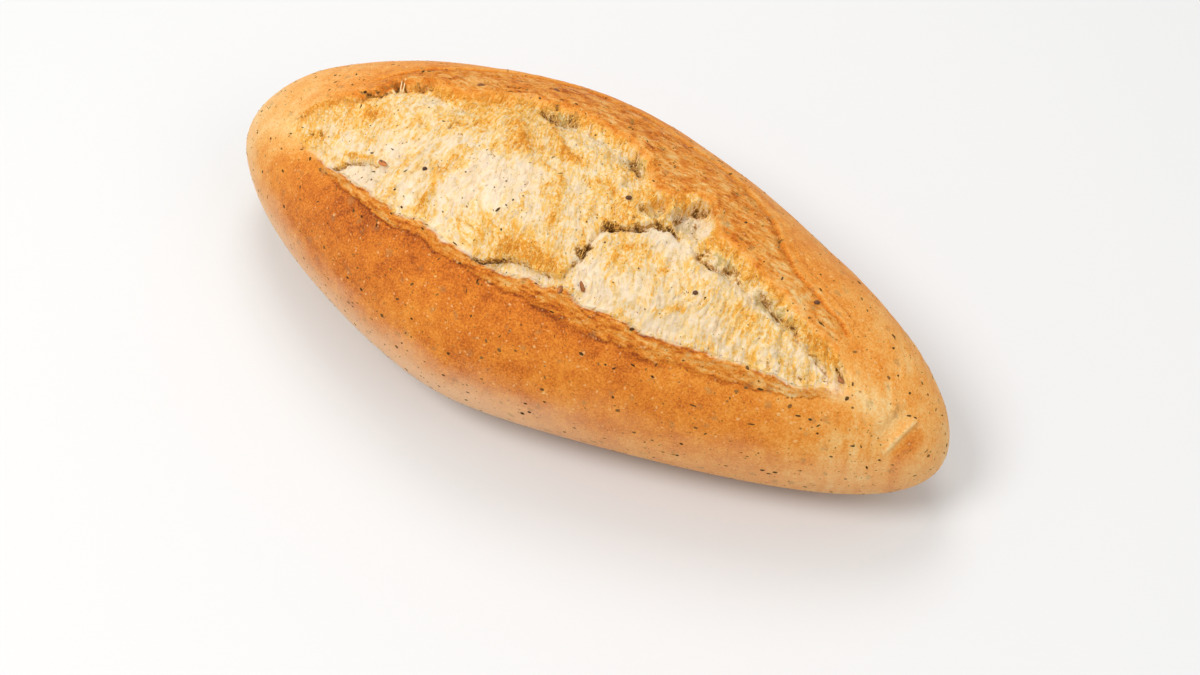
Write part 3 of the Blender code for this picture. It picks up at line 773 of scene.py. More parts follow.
class Output:
    """What a node gives: a number, a place or a colour. Numbers take sums, differences and products."""

    def __init__(self, graph: "Graph", socket: bpy.types.NodeSocket) -> None:
        """Holds a node's output and the graph that it belongs to."""
        self.graph, self.socket = graph, socket

    def __add__(self, other: "Output | float") -> "Output":
        """The sum of two numbers."""
        return self.graph.math("ADD", self, other)

    def __sub__(self, other: "Output | float") -> "Output":
        """The difference of two numbers."""
        return self.graph.math("SUBTRACT", self, other)

    def __mul__(self, other: "Output | float") -> "Output":
        """The product of two numbers."""
        return self.graph.math("MULTIPLY", self, other)


class Graph:
    """A new material's node tree, with short calls for the nodes that the finishes share."""

    def __init__(self, name: str) -> None:
        """Starts a material of the given name with a Principled shader.

        Args:
            name: the material's name.
        """
        self.material = bpy.data.materials.new(name)
        self.material.use_nodes = True
        self.tree = self.material.node_tree
        self.shader = self.tree.nodes["Principled BSDF"]

    def set(self, socket: bpy.types.NodeSocket, value: object) -> None:
        """Links an output to a socket, or gives the socket a value.

        Args:
            socket: the input to set.
            value: a value or another node's output.
        """
        if isinstance(value, Output):
            self.tree.links.new(value.socket, socket)
        else:
            socket.default_value = value

    def node(self, kind: str, output: str | int, inputs: dict[str | int, object],
             **settings: object) -> Output:
        """Adds a node.

        Args:
            kind: the node's type name, without its ShaderNode prefix.
            output: which of its outputs is wanted.
            inputs: a value or another node's output for each input socket.
            settings: the node's own properties.

        Returns:
            The output.
        """
        made = self.tree.nodes.new("ShaderNode" + kind)
        for key, value in settings.items():
            setattr(made, key, value)
        for key, value in inputs.items():
            self.set(made.inputs[key], value)
        return Output(self, made.outputs[output])

    def surface(self, inputs: dict[str, object]) -> bpy.types.Material:
        """Sets the shader's own sockets, and gives the finished material.

        Args:
            inputs: a value or a node's output for each of the shader's sockets.

        Returns:
            The material.
        """
        for key, value in inputs.items():
            self.set(self.shader.inputs[key], value)
        return self.material

    def attribute(self, name: str, output: str = "Fac") -> Output:
        """The piece's own attribute: a number, or a place from its output Vector."""
        return self.node("Attribute", output, {}, attribute_name=name)

    def place(self) -> Output:
        """The place on the piece, in Object coordinates."""
        return self.node("TexCoord", "Object", {})

    def noise(self, place: Output, size: float, detail: float = 3.0, rough: float = 0.6) -> Output:
        """Noise of a wavelength in metres, about 0 to 1."""
        inputs = {"Vector": place, "Scale": 1 / size, "Detail": detail, "Roughness": rough}
        return self.node("TexNoise", "Fac", inputs)

    def stretched(self, place: Output, scale: tuple[float, float, float]) -> Output:
        """A place scaled along each axis."""
        return self.node("VectorMath", "Vector", {0: place, 1: scale}, operation="MULTIPLY")

    def spots(self, place: Output, size: float) -> Output:
        """Distance from scattered spots, so far apart in metres, in shares of that."""
        return self.node("TexVoronoi", "Distance", {"Vector": place, "Scale": 1 / size})

    def warped(self, place: Output, size: float, amount: float) -> Output:
        """A place shifted by noise of a wavelength, by an amount, both in metres.

        Args:
            place: the place to shift.
            size: the noise's wavelength.
            amount: how far it shifts.

        Returns:
            The shifted place.
        """
        wave = self.node("TexNoise", "Color", {"Vector": place, "Scale": 1 / size, "Detail": 2.0})
        shift = self.node("VectorMath", "Vector", {0: wave, "Scale": amount * 2}, operation="SCALE")
        return self.node("VectorMath", "Vector", {0: place, 1: shift}, operation="ADD")

    def steps(self, value: Output, low: float, high: float, top: float = 1.0) -> Output:
        """Maps a value smoothly from 0 at low to top at high."""
        inputs = {"Value": value, "From Min": low, "From Max": high, "To Min": 0.0, "To Max": top}
        return self.node("MapRange", "Result", inputs, interpolation_type="SMOOTHSTEP")

    def math(self, operation: str, first: Output | float, second: Output | float) -> Output:
        """A sum, product or the like of two numbers."""
        return self.node("Math", "Value", {0: first, 1: second}, operation=operation)

    def ramp(self, value: Output, stops: Ramp) -> Output:
        """A colour from a row of stops, each a place from 0 to 1 and its colour.

        Args:
            value: where on the row the colour is.
            stops: the row of stops.

        Returns:
            The colour.
        """
        made = self.node("ValToRGB", "Color", {"Fac": value})
        elements = made.socket.node.color_ramp.elements
        elements[0].position, elements[0].color = stops[0]
        elements[1].position, elements[1].color = stops[-1]
        for position, colour in stops[1:-1]:
            elements.new(position).color = colour
        return made

    def blend(self, share: Output, below: Output, above: Output | Colour) -> Output:
        """Mixes two colours by a share."""
        return self.node("Mix", 2, {0: share, 6: below, 7: above}, data_type="RGBA")

    def bumps(self, height: Output, distance: float, strength: float = 1.0) -> Output:
        """A normal from a height of 0 to 1 over a distance in metres."""
        return self.node("Bump", "Normal", {"Height": height, "Distance": distance, "Strength": strength})


@dataclass(frozen=True)
class BreadFinish:
    """The finish of the whole skin: crust and crumb, each from pale to dark, with shade painted into its
    cracks, pits and hollows.
    """

    crust: Ramp = (
        (0.0, (0.90, 0.62, 0.28, 1)), (0.25, (0.88, 0.45, 0.12, 1)), (0.5, (0.82, 0.295, 0.034, 1)),
        (0.75, (0.64, 0.165, 0.015, 1)), (1.0, (0.28, 0.055, 0.010, 1)))
    crumb: Ramp = (
        (0.0, (0.89, 0.72, 0.52, 1)), (0.22, (0.88, 0.65, 0.33, 1)), (0.45, (0.87, 0.53, 0.14, 1)),
        (0.7, (0.85, 0.41, 0.055, 1)), (1.0, (0.70, 0.27, 0.03, 1)))
    floured: Colour = (0.90, 0.60, 0.36, 1)
    # Painted shade: the greenish grey of the crumb's shaded hollows.
    pocket_shade: Colour = (0.48, 0.33, 0.10, 1)
    # Painted shadow: the darkest shade at the foot of cracks and gaps.
    wall: Colour = (0.13, 0.050, 0.010, 1)
    shade: Colour = (0.52, 0.245, 0.05, 1)
    fleck: Colour = (0.10, 0.060, 0.018, 1)
    under_skin: Colour = (0.36, 0.19, 0.075, 1)
    blister: Colour = (0.95, 0.60, 0.24, 1)
    shine: float = 0.12
    see_through: float = 0.15
    light_reach: tuple[float, float, float] = (1.0, 0.5, 0.25)
    light_depth: float = 0.0012
    relief: float = 0.0014

    def crumb_colour(self, graph: Graph, threads: Output, grains: Output) -> Output:
        """The torn crumb's colour from its baking: golden between pale fibres, partly as painted shade,
        granular where browned.

        Args:
            graph: the material's nodes.
            threads: fine noise along the fibres.
            grains: fine noise without a direction.

        Returns:
            The colour.
        """
        baking = graph.attribute("crumb_browning_and_painted_light")
        # Golden lines in the grooves between the fibres: partly the crumb's own colour, partly painted
        # shade.
        lines = graph.steps(threads, 0.515, 0.43, 0.33) * (baking * 1.6 + 0.45)
        coarse = (graph.steps(grains, 0.46, 0.56, 0.80) - 0.40) * baking
        crumb = graph.ramp(baking + lines + coarse - 0.10, self.crumb)
        # Painted shade in the crumb's small pits.
        pits = graph.spots(graph.warped(graph.attribute("fibre", "Vector"), 0.0018, 0.0010), 0.0021)
        crumb = graph.blend(graph.steps(pits, 0.18, 0.08, 0.45), crumb, self.shade)
        # Painted greenish grey shade in the crumb's hollows and recesses.
        deep = graph.attribute("pocket_shade") + (grains - 0.5)
        return graph.blend(graph.steps(deep, 0.15, 0.8, 0.85), crumb, self.pocket_shade)

    def crust_colour(self, graph: Graph, fine: Output, streaks: Output, blisters: Output) -> Output:
        """The crust's colour from its baking, mottled, with pale blisters and spots of leaf under the skin.

        Args:
            graph: the material's nodes.
            fine: fine noise.
            streaks: fine noise drawn out along the loaf, for the rough crust.
            blisters: share of the blisters.

        Returns:
            The colour.
        """
        place = graph.place()
        cloudy = graph.steps(graph.noise(place, 0.0045), 0.3, 0.7, 0.14)
        mottled = graph.steps(fine, 0.33, 0.67, 0.30) + cloudy
        wrinkled = graph.attribute("rough") * (graph.steps(streaks, 0.32, 0.68, 0.4) - 0.2)
        crust = graph.ramp(graph.attribute("crust_browning") + (mottled + wrinkled) - 0.20, self.crust)
        crust = graph.blend(graph.attribute("flour") * 0.75, crust, self.floured)
        under = graph.spots(graph.warped(place, 0.002, 0.0020), 0.0080)
        crust = graph.blend(graph.steps(under, 0.24, 0.08, 0.38), crust, self.under_skin)
        return graph.blend(blisters, crust, self.blister)

    def make(self) -> bpy.types.Material:
        """Makes the material, which reads the skin's attributes and Object coordinates.

        Returns:
            The material.
        """
        graph = Graph("baked bread")
        place, share = graph.place(), graph.attribute("crumb")
        fine = graph.noise(place, 0.0008, 4, 0.75)
        grains = graph.noise(place, 0.0011, 4, 0.7)
        threads = graph.noise(graph.attribute("fibre", "Vector"), 0.0013, 6, 0.65)
        streaks = graph.noise(graph.stretched(place, (0.30, 1.0, 1.0)), 0.0015, 5, 0.65)
        scattered = graph.spots(graph.warped(place, 0.0008, 0.0005), 0.0021)
        blisters = graph.steps(scattered + graph.noise(place, 0.0030) * 1.3, 0.86, 0.60, 0.62)
        crust = self.crust_colour(graph, fine, streaks, blisters)
        colour = graph.blend(share, crust, self.crumb_colour(graph, threads, grains))
        # Painted shade in cracks and gaps: mid brown, and the darkest colour at their foot.
        gap = graph.attribute("dark") + (grains - 0.5) * 2.2
        colour = graph.blend(graph.steps(gap, 0.30, 0.55, 0.85), colour, self.shade)
        colour = graph.blend(graph.steps(gap, 0.62, 0.95, 0.95), colour, self.wall)
        specks = graph.spots(graph.warped(place, 0.001, 0.0005), 0.0030)
        colour = graph.blend(graph.steps(specks, 0.13, 0.06, 0.8), colour, self.fleck)
        torn = (threads + grains * 0.35) * share
        skin = (fine + blisters * 0.5) * graph.math("SUBTRACT", 1.0, share) * 0.5
        rough = streaks * graph.attribute("rough") * 1.2
        return graph.surface({
            "Base Color": colour, "Roughness": share * 0.37 + 0.48, "Specular IOR Level": self.shine,
            "Subsurface Weight": self.see_through, "Subsurface Radius": self.light_reach,
            "Subsurface Scale": self.light_depth, "Normal": graph.bumps(torn + skin + rough, self.relief)})


@dataclass(frozen=True)
class BitFinish:
    """The finish of small bits: tones that change from bit to bit, on fine grain."""

    name: str
    tones: Ramp
    roughness: float
    grain: float = 0.0006
    shine: float = 0.15
    uneven: float = 0.35
    paler: float = 0.15
    relief: float = 0.0002
    relief_share: float = 0.6

    def make(self) -> bpy.types.Material:
        """Makes the material, which reads the bits' own tone and Object coordinates.

        Returns:
            The material.
        """
        graph = Graph(self.name)
        fine = graph.noise(graph.place(), self.grain)
        colour = graph.ramp(graph.attribute("tone") + fine * self.uneven - self.paler, self.tones)
        return graph.surface({
            "Base Color": colour, "Roughness": self.roughness, "Specular IOR Level": self.shine,
            "Normal": graph.bumps(fine, self.relief, self.relief_share)})


@dataclass(frozen=True)
class FloorFinish:
    """The plain pale floor."""

    colour: Colour = (0.70, 0.70, 0.70, 1)
    roughness: float = 0.7

    def make(self) -> bpy.types.Material:
        """Makes the material."""
        return Graph("pale floor").surface({"Base Color": self.colour, "Roughness": self.roughness})


def finished_piece(name: str, bm: bmesh.types.BMesh, material: bpy.types.Material,
                   shading: Smoothness = Smoothness.SMOOTH) -> bpy.types.Object:
    """Makes an object at the origin from a mesh in millimetres, in metres, on the loaf's body.

    Args:
        name: the piece's name.
        bm: its mesh in millimetres, which is freed.
        material: its finish.
        shading: whether it is shaded smooth.

    Returns:
        The new object.
    """
    bmesh.ops.scale(bm, vec=(MM, MM, MM), verts=bm.verts)
    for face in bm.faces:
        face.smooth = shading.value
    mesh = bpy.data.meshes.new(name)
    bm.to_mesh(mesh)
    bm.free()
    mesh.materials.append(material)
    piece = bpy.data.objects.new(name, mesh)
    bpy.context.scene.collection.objects.link(piece)
    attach(piece, BODY)
    triangles = sum(len(face.vertices) - 2 for face in mesh.polygons)
    log.info("%s: %d triangles", name, triangles)
    return piece


def give_attribute(mesh: bpy.types.Mesh, name: str, values: Array) -> None:
    """Gives each vertex of a mesh a number, or a place of three numbers."""
    kind, key = ("FLOAT", "value") if values.ndim == 1 else ("FLOAT_VECTOR", "vector")
    mesh.attributes.new(name, kind, "POINT").data.foreach_set(key, values.astype(np.float32).ravel())


@dataclass
class LoafSkin:
    """The loaf's whole skin, crust and crumb, as one closed mesh."""

    form: LoafForm
    slash: Slash
    rings: int = 300
    segments: int = 200
    even_rings: float = 0.4
    top_crowding: float = 0.5
    fine_margin: tuple[float, float] = (9.0, 5.0)
    fine_reach: float = 124.0
    low: Array = field(default_factory=lambda: np.zeros(3))
    high: Array = field(default_factory=lambda: np.zeros(3))
    head_room: float = 1.2
    piece: bpy.types.Object | None = None

    def smooth_skin(self) -> bmesh.types.BMesh:
        """The smooth skin, with twice as many faces each way round the slash.

        Returns:
            The mesh, in millimetres.
        """
        bm = bmesh.new()
        along_x = Matrix.Rotation(math.pi / 2, 4, "Y")
        bmesh.ops.create_uvsphere(
            bm, u_segments=self.segments, v_segments=self.rings, radius=1, matrix=along_x)
        sphere = np.array([vert.co for vert in bm.verts])
        ring = np.arccos(np.clip(-sphere[:, 0], -1, 1))
        station = (1 - self.even_rings) * sphere[:, 0] + self.even_rings * (2 * ring / math.pi - 1)
        from_top = np.arctan2(sphere[:, 1], sphere[:, 2])
        from_top -= self.top_crowding * np.sin(from_top)
        for vert, place in zip(bm.verts, self.form.skin(station, math.pi / 2 - from_top)):
            vert.co = place
        x, y, z = np.array([face.calc_center_median() for face in bm.faces]).T
        front, back = self.fine_margin
        chosen = (self.slash.front.across(x, y) > -front) & (self.slash.back.across(x, y) < back)
        chosen &= (z > self.form.tip_height) & (np.abs(x) < self.fine_reach)
        bm.edges.index_update()
        cut = {edge.index for face, fine in zip(bm.faces, chosen) if fine for edge in face.edges}
        edges = [edge for edge in bm.edges if edge.index in cut]
        bmesh.ops.subdivide_edges(bm, edges=edges, cuts=1, use_grid_fill=True)
        bmesh.ops.triangulate(bm, faces=[face for face in bm.faces if len(face.verts) > 4])
        bm.normal_update()
        return bm

    def build(self) -> None:
        """Builds the skin: the smooth form, moved by the relief, with its baking and its painted shade and
        highlights as attributes.
        """
        bm = self.smooth_skin()
        places = np.array([vert.co for vert in bm.verts])
        normals = np.array([vert.normal for vert in bm.verts])
        skin_map = SkinMap(self.form, self.slash, *places.T)
        out, push_x, push_y = skin_map.rise()
        moved = places + normals * out[:, None]
        moved[:, 0] += push_x
        moved[:, 1] += push_y
        knee = self.high[2] - self.head_room
        over = np.clip(moved[:, 2] - knee, 0, None)
        moved[:, 2] = np.where(over > 0, knee + self.head_room * np.tanh(over / self.head_room), moved[:, 2])
        moved = np.clip(moved, self.low, self.high)
        for vert, place in zip(bm.verts, moved):
            vert.co = place
        self.piece = finished_piece("loaf_skin", bm, BreadFinish().make())
        fibre = np.stack([skin_map.fibre_x, skin_map.fibre_y * 0.3, skin_map.z * 0.3], axis=-1) * MM
        rough = np.maximum(skin_map.rough, skin_map.lip_share())
        # dark and the hollows' mask are painted shade; the crumb's browning holds painted shade in grooves
        # and two painted highlights.
        baked = {
            "crumb": skin_map.crumb, "crumb_browning_and_painted_light": skin_map.crumb_browning_and_painted_light(), "pocket_shade": skin_map.pocket_shade,
            "dark": skin_map.dark * skin_map.on_top, "crust_browning": skin_map.crust_browning(),
            "flour": skin_map.flour(), "rough": rough, "fibre": fibre}
        for name, values in baked.items():
            give_attribute(self.piece.data, name, values)
        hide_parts(NODE)

    def tree(self) -> BVHTree:
        """The finished skin for casting rays, in metres."""
        return BVHTree.FromObject(self.piece, bpy.context.evaluated_depsgraph_get())


def on_skin(skin: BVHTree, x: float, y: float) -> tuple[Vector, Vector]:
    """The skin's place and normal below a point of the plan.

    Args:
        skin: the finished skin, in metres.
        x: place along the loaf, in millimetres.
        y: place across it.

    Returns:
        The place in millimetres, and the normal.
    """
    place, normal, _, _ = skin.ray_cast(Vector((x * MM, y * MM, 1)), Vector((0, 0, -1)))
    return place / MM, normal


def lying(place: Vector, normal: Vector, turn: float) -> Matrix:
    """A matrix that lays a thing at a place on the skin, turned about the skin's normal.

    Args:
        place: where the thing lies.
        normal: the skin's normal there.
        turn: the turn in radians.

    Returns:
        The matrix.
    """
    heading = Vector((math.cos(turn), math.sin(turn), 0))
    across = normal.cross(heading).normalized()
    basis = Matrix((across.cross(normal), across, normal)).transposed().to_4x4()
    return Matrix.Translation(place) @ basis


@dataclass(frozen=True)
class Seed:
    """One seed: its place, its turn in degrees, its size, and its tone from dark to light."""

    x: float
    y: float
    turn: float
    length: float
    width: float
    tone: float


@dataclass
class Seeds:
    """The flax and dark seeds set in the skin."""

    seeds: tuple[Seed, ...] = (
        Seed(26, -35.4, 108, 4.6, 2.4, 0.5),
        Seed(20.5, -40.9, 112, 4.2, 2.3, 0.42),
        Seed(-67.2, -27.3, -10, 6.0, 2.2, 1.0),
        Seed(21.7, 2.5, 95, 3.8, 2.2, 0.15),
        Seed(-50.4, -23.3, 20, 2.0, 1.8, 0.0),
        Seed(62.5, -19.4, 0, 2.2, 1.9, 0.1),
        Seed(98.3, 4, 30, 2.4, 1.9, 0.1),
        Seed(-58.7, 24.2, 60, 3.0, 2.0, 0.3),
        Seed(118, -14.2, -38, 5.0, 2.6, 0.6),
        Seed(-35, 41, 20, 2.6, 1.9, 0.25),
    )
    thickness: float = 1.5
    pointed: float = 0.35
    sunk: float = 0.05
    segments: int = 14
    rings: int = 10

    def build(self, skin: BVHTree) -> None:
        """Builds all the seeds as one piece, half sunk in the skin.

        Args:
            skin: the finished skin, in metres.
        """
        bm = bmesh.new()
        shades: list[float] = []
        for seed in self.seeds:
            place, normal = on_skin(skin, seed.x, seed.y)
            laid = lying(place - normal * self.thickness * self.sunk, normal, math.radians(seed.turn))
            made = bmesh.ops.create_uvsphere(bm, u_segments=self.segments, v_segments=self.rings, radius=1)
            made = made["verts"]
            for vert in made:
                slim = 1 - self.pointed * max(vert.co.x, 0) ** 2
                vert.co.y *= slim
                vert.co.z *= slim
            size = Matrix.Diagonal((seed.length / 2, seed.width / 2, self.thickness / 2, 1))
            bmesh.ops.transform(bm, matrix=laid @ size, verts=made)
            shades += [seed.tone] * len(made)
        tones = ((0.0, (0.05, 0.028, 0.02, 1)), (1.0, (0.55, 0.19, 0.05, 1)))
        finish = BitFinish("flax seed", tones, 0.35, 0.0012)
        piece = finished_piece("seeds", bm, finish.make())
        give_attribute(piece.data, "tone", np.array(shades))


def gathered(shapes: list[tuple[Matrix, float]], subdivisions: int = 1,
             chunk: int = 150) -> tuple[bmesh.types.BMesh, Array]:
    """Many small spheres of a few dozen faces, each stretched and laid by its matrix, in one mesh.

    Args:
        shapes: each one's matrix and tone.
        subdivisions: 1 for 20 faces each, 2 for 80.
        chunk: how many are made at a time before they join the rest.

    Returns:
        The mesh in millimetres, and the tone of each of its vertices.
    """
    whole = bmesh.new()
    spare = bpy.data.meshes.new("spare")
    tones: list[float] = []
    for first in range(0, len(shapes), chunk):
        part = bmesh.new()
        for matrix, tone in shapes[first:first + chunk]:
            made = bmesh.ops.create_icosphere(part, subdivisions=subdivisions, radius=1, matrix=matrix)
            tones += [tone] * len(made["verts"])
        part.to_mesh(spare)
        part.free()
        whole.from_mesh(spare)
    bpy.data.meshes.remove(spare)
    return whole, np.array(tones)


@dataclass
class SkinFaces:
    """The finished skin's faces, to scatter small things on them."""

    skin: LoafSkin

    def __post_init__(self) -> None:
        """Reads the faces' places in millimetres, their normals, areas and baking."""
        mesh = self.skin.piece.data
        count = len(mesh.polygons)
        centres, normals, self.areas = np.empty(count * 3), np.empty(count * 3), np.empty(count)
        mesh.polygons.foreach_get("center", centres)
        mesh.polygons.foreach_get("normal", normals)
        mesh.polygons.foreach_get("area", self.areas)
        self.centres, self.normals = centres.reshape(-1, 3) / MM, normals.reshape(-1, 3)
        self.corners = np.array([face.vertices[0] for face in mesh.polygons])
        self.crumb = self.baking("crumb")

    def baking(self, name: str) -> Array:
        """One of the skin's attributes at each face.

        Args:
            name: the attribute's name.

        Returns:
            The attribute at each face.
        """
        values = np.empty(len(self.skin.piece.data.vertices))
        self.skin.piece.data.attributes[name].data.foreach_get("value", values)
        return values[self.corners]

    def spot(self, index: int) -> tuple[Vector, Vector]:
        """A face's place in millimetres and its normal."""
        return Vector(self.centres[index]), Vector(self.normals[index])

    def draw(self, weights: Array, number: int, chance: np.random.RandomState) -> Array:
        """Draws faces, each as likely as its area times its weight."""
        shares = self.areas * weights
        return chance.choice(len(shares), number, p=shares / shares.sum())


@dataclass
class NettleFlecks:
    """Dark bits of nettle leaf baked into the crust and the crumb."""

    faces: SkinFaces
    on_crust: int = 2100
    on_crumb: int = 460
    crust_size: tuple[float, float] = (0.35, 2.2)
    crumb_size: tuple[float, float] = (0.3, 1.3)
    thickness: float = 0.26
    marked: tuple[tuple[float, float, float, float, float], ...] = (
        (-93.6, -6.5, -65, 3.2, 0.8), (-67, -20.9, -10, 2.2, 0.6), (-74.2, -24.5, 45, 1.8, 1.2),
        (-69, -30.6, 70, 2, 1), (-56.5, -27, 80, 2.6, 0.8), (-56.6, -34.2, 70, 1.3, 0.8),
        (-50.4, -38.7, -30, 1.4, 1), (-15, -27.2, 70, 2.6, 1.1), (-13.4, -24.3, -30, 1, 0.8),
        (-9.7, -33, -40, 1.3, 1), (-4.6, -2.3, 25, 2.2, 0.6), (-35, -18.8, 0, 0.9, 0.8),
        (-19.7, -15, 0, 1, 0.8), (-12, 4, 70, 1.8, 0.7), (4.4, 11.8, -40, 1, 0.8),
        (15.7, -16.2, -50, 1.3, 0.8), (25.3, -19.4, 20, 1, 0.8), (41.2, -22.4, 0, 0.9, 0.7),
        (17.2, -11.8, -40, 1, 0.7), (11.5, -13.5, 0, 0.8, 0.7), (66.3, -19.2, 0, 1.1, 0.9),
        (61, 2.3, 0, 1.1, 0.8), (-57.5, -1.3, -10, 2.6, 0.9), (-67.8, 3.2, -30, 2, 0.8),
        (-77.5, -3.4, -30, 1.6, 0.5), (-36, 31, -10, 1.5, 0.9), (-43.5, 33, 60, 1.6, 0.7),
        (-50, 30, 0, 1, 0.8), (-84.3, 21.2, 80, 1.8, 1.2), (-71.5, 21.5, -50, 2, 1),
        (96.5, 10.2, -40, 2, 0.8), (124.5, 14.8, 0, 2.2, 1.2), (-52, -43, -20, 1.8, 0.7),
        (-37, -43.8, -15, 1.8, 0.7), (-23, -43.4, 0, 2.4, 0.9), (21.5, -48, 15, 2.2, 0.8),
        (97, -33, 15, 2.6, 1), (111.5, -31.5, 20, 2.4, 0.8), (98.5, -40.6, 25, 3, 0.6),
        (78.4, -46.2, 0, 2.8, 0.6), (46.2, -52, 0, 1.1, 0.9), (119.3, -31, 0, 1.1, 0.9),
        (133.3, 1, 0, 1, 0.9), (-17.5, -48.4, 0, 2, 0.9), (-110, 11, -45, 2.4, 0.8),
        (-106, -29.2, 0, 2.4, 0.7), (-111, -36.6, -30, 2, 1), (103.2, -2.4, 0, 1.7, 1.1),
        (142.6, -7, 30, 2.2, 0.7), (144.6, -6, 15, 1.6, 0.6), (140.3, -22.8, 0, 1.4, 0.8),
        (93, 17, 0, 1, 0.8), (144, 5.2, 0, 1, 0.8), (139.3, -1, 60, 1.4, 1), (-58.2, 24.5, 70, 3.4, 1.8))
    marked_thickness: float = 0.26 * 1.4
    marked_tone: float = 0.12
    seed: int = 7

    def build(self, skin: BVHTree) -> None:
        """Builds all the flecks as one piece, each a thin bit almost flush with the skin.

        Args:
            skin: the finished skin, in metres.
        """
        faces, chance = self.faces, np.random.RandomState(self.seed)
        shapes: list[tuple[Matrix, float]] = []
        crust = (faces.crumb < 0.5) & (faces.centres[:, 2] > 2)
        crumb = (faces.crumb > 0.5) * (1 + 5 * faces.baking("pocket_shade"))
        for where, number, sizes in ((crust, self.on_crust, self.crust_size),
                                     (crumb, self.on_crumb, self.crumb_size)):
            for index in faces.draw(where, number, chance):
                length = sizes[0] + (sizes[1] - sizes[0]) * chance.rand() ** 3.4
                width = length * chance.uniform(0.25, 0.8)
                laid = lying(*faces.spot(index), chance.uniform(0, math.tau))
                size = Matrix.Diagonal((length / 2, width / 2, self.thickness / 2, 1))
                shapes.append((laid @ size, chance.rand() ** 1.3))
        for x, y, turn, length, width in self.marked:
            laid = lying(*on_skin(skin, x, y), math.radians(turn))
            size = Matrix.Diagonal((length / 2, width / 2, self.marked_thickness / 2, 1))
            shapes.append((laid @ size, self.marked_tone))
        bm, shades = gathered(shapes)
        tones = ((0.0, (0.050, 0.026, 0.010, 1)), (1.0, (0.30, 0.14, 0.040, 1)))
        finish = BitFinish("nettle leaf", tones, 0.8, shine=0.03)
        piece = finished_piece("nettle_flecks", bm, finish.make(), Smoothness.FACETED)
        give_attribute(piece.data, "tone", shades)


@dataclass
class TornBits:
    """Bits of torn crumb: long shreds that lie along the fibres, and browned grains on the torn edges."""

    faces: SkinFaces
    shreds: int = 5200
    grains: int = 4200
    shred_length: tuple[float, float] = (1.2, 5.0)
    shred_width: tuple[float, float] = (0.18, 0.34)
    grain_size: tuple[float, float] = (0.4, 1.0)
    strands: tuple[tuple[float, float, float, float], ...] = (
        (-87.6, 12.6, -84.6, 6.4), (-86.2, 12.8, -83.6, 7.2), (-85.6, 12.4, -84.8, 8.2),
        (-24.0, 30.0, -21.0, 25.5), (-22.6, 30.2, -20.6, 26.4), (38.6, 13.0, 40.0, 8.0),
        (-12.0, 29.6, -10.6, 25.4))
    seed: int = 11
    turn_spread: float = 0.22
    shred_sunk: float = 0.04
    grain_lift: float = 0.05
    rooted: float = 0.4
    strand_radius: float = 0.22
    strand_lift: float = 0.15
    strand_tone: float = 0.2

    def shred_shapes(self) -> list[tuple[Matrix, float]]:
        """Places the shreds.

        Returns:
            Each one's matrix and tone.
        """
        faces, chance = self.faces, np.random.RandomState(self.seed)
        browned = faces.baking("crumb_browning_and_painted_light")
        lean = faces.skin.slash.fibre_lean
        shapes: list[tuple[Matrix, float]] = []
        shortest, longest = self.shred_length
        for index in faces.draw((faces.crumb > 0.7) * (0.5 + browned), self.shreds, chance):
            place, normal = faces.spot(index)
            length = shortest + (longest - shortest) * chance.rand() ** 2
            width = chance.uniform(*self.shred_width)
            tilt = float(lean.along(np.array(place.x)))
            turn = math.atan2(1, -tilt) + chance.normal(0, self.turn_spread)
            size = Matrix.Diagonal((length / 2, width / 2, width * chance.uniform(0.35, 0.7), 1))
            laid = lying(place - normal * self.shred_sunk, normal, turn)
            shapes.append((laid @ size, float(browned[index]) + chance.uniform(0, 0.15)))
        return shapes

    def grain_shapes(self) -> list[tuple[Matrix, float]]:
        """Places the grains.

        Returns:
            Each one's matrix and tone.
        """
        faces, chance = self.faces, np.random.RandomState(self.seed + 1)
        browned = faces.baking("crumb_browning_and_painted_light")
        weights = (faces.crumb > 0.5) * np.clip(browned - 0.22, 0.01, 1) ** 1.5
        shapes: list[tuple[Matrix, float]] = []
        smallest, largest = self.grain_size
        for index in faces.draw(weights, self.grains, chance):
            length = smallest + (largest - smallest) * chance.rand() ** 2
            place, normal = faces.spot(index)
            size = Matrix.Diagonal((length / 2, length * 0.35, length * chance.uniform(0.2, 0.4), 1))
            laid = lying(place + normal * self.grain_lift, normal, chance.uniform(0, math.tau))
            shapes.append((laid @ size, float(browned[index]) + chance.uniform(-0.05, 0.15)))
        return shapes

    def strand_shapes(self, skin: BVHTree) -> list[tuple[Matrix, float]]:
        """Places the strands of crumb that still bridge the openings.

        Args:
            skin: the finished skin, in metres.

        Returns:
            Each one's matrix and tone.
        """
        shapes: list[tuple[Matrix, float]] = []
        for from_x, from_y, to_x, to_y in self.strands:
            start, end = on_skin(skin, from_x, from_y)[0], on_skin(skin, to_x, to_y)[0]
            along = end - start
            turned = along.to_track_quat("X", "Z").to_matrix().to_4x4()
            radius = self.strand_radius
            size = Matrix.Diagonal((along.length / 2 + self.rooted, radius, radius, 1))
            middle = (start + end) / 2 + Vector((0, 0, self.strand_lift))
            shapes.append((Matrix.Translation(middle) @ turned @ size, self.strand_tone))
        return shapes

    def build(self, skin: BVHTree) -> None:
        """Builds the shreds, the grains and the strands, a piece for each kind.

        Args:
            skin: the finished skin, in metres.
        """
        finish = BitFinish("crumb bits", BreadFinish().crumb, roughness=0.85, grain=0.0009, shine=0.2,
                           uneven=0.2, paler=0.1, relief=0.0003, relief_share=0.7).make()
        for name, shapes, faces in (("shreds", self.shred_shapes(), 1), ("grains", self.grain_shapes(), 1),
                                    ("strands", self.strand_shapes(skin), 2)):
            bm, tones = gathered(shapes, faces)
            piece = finished_piece(name, bm, finish)
            give_attribute(piece.data, "tone", tones)


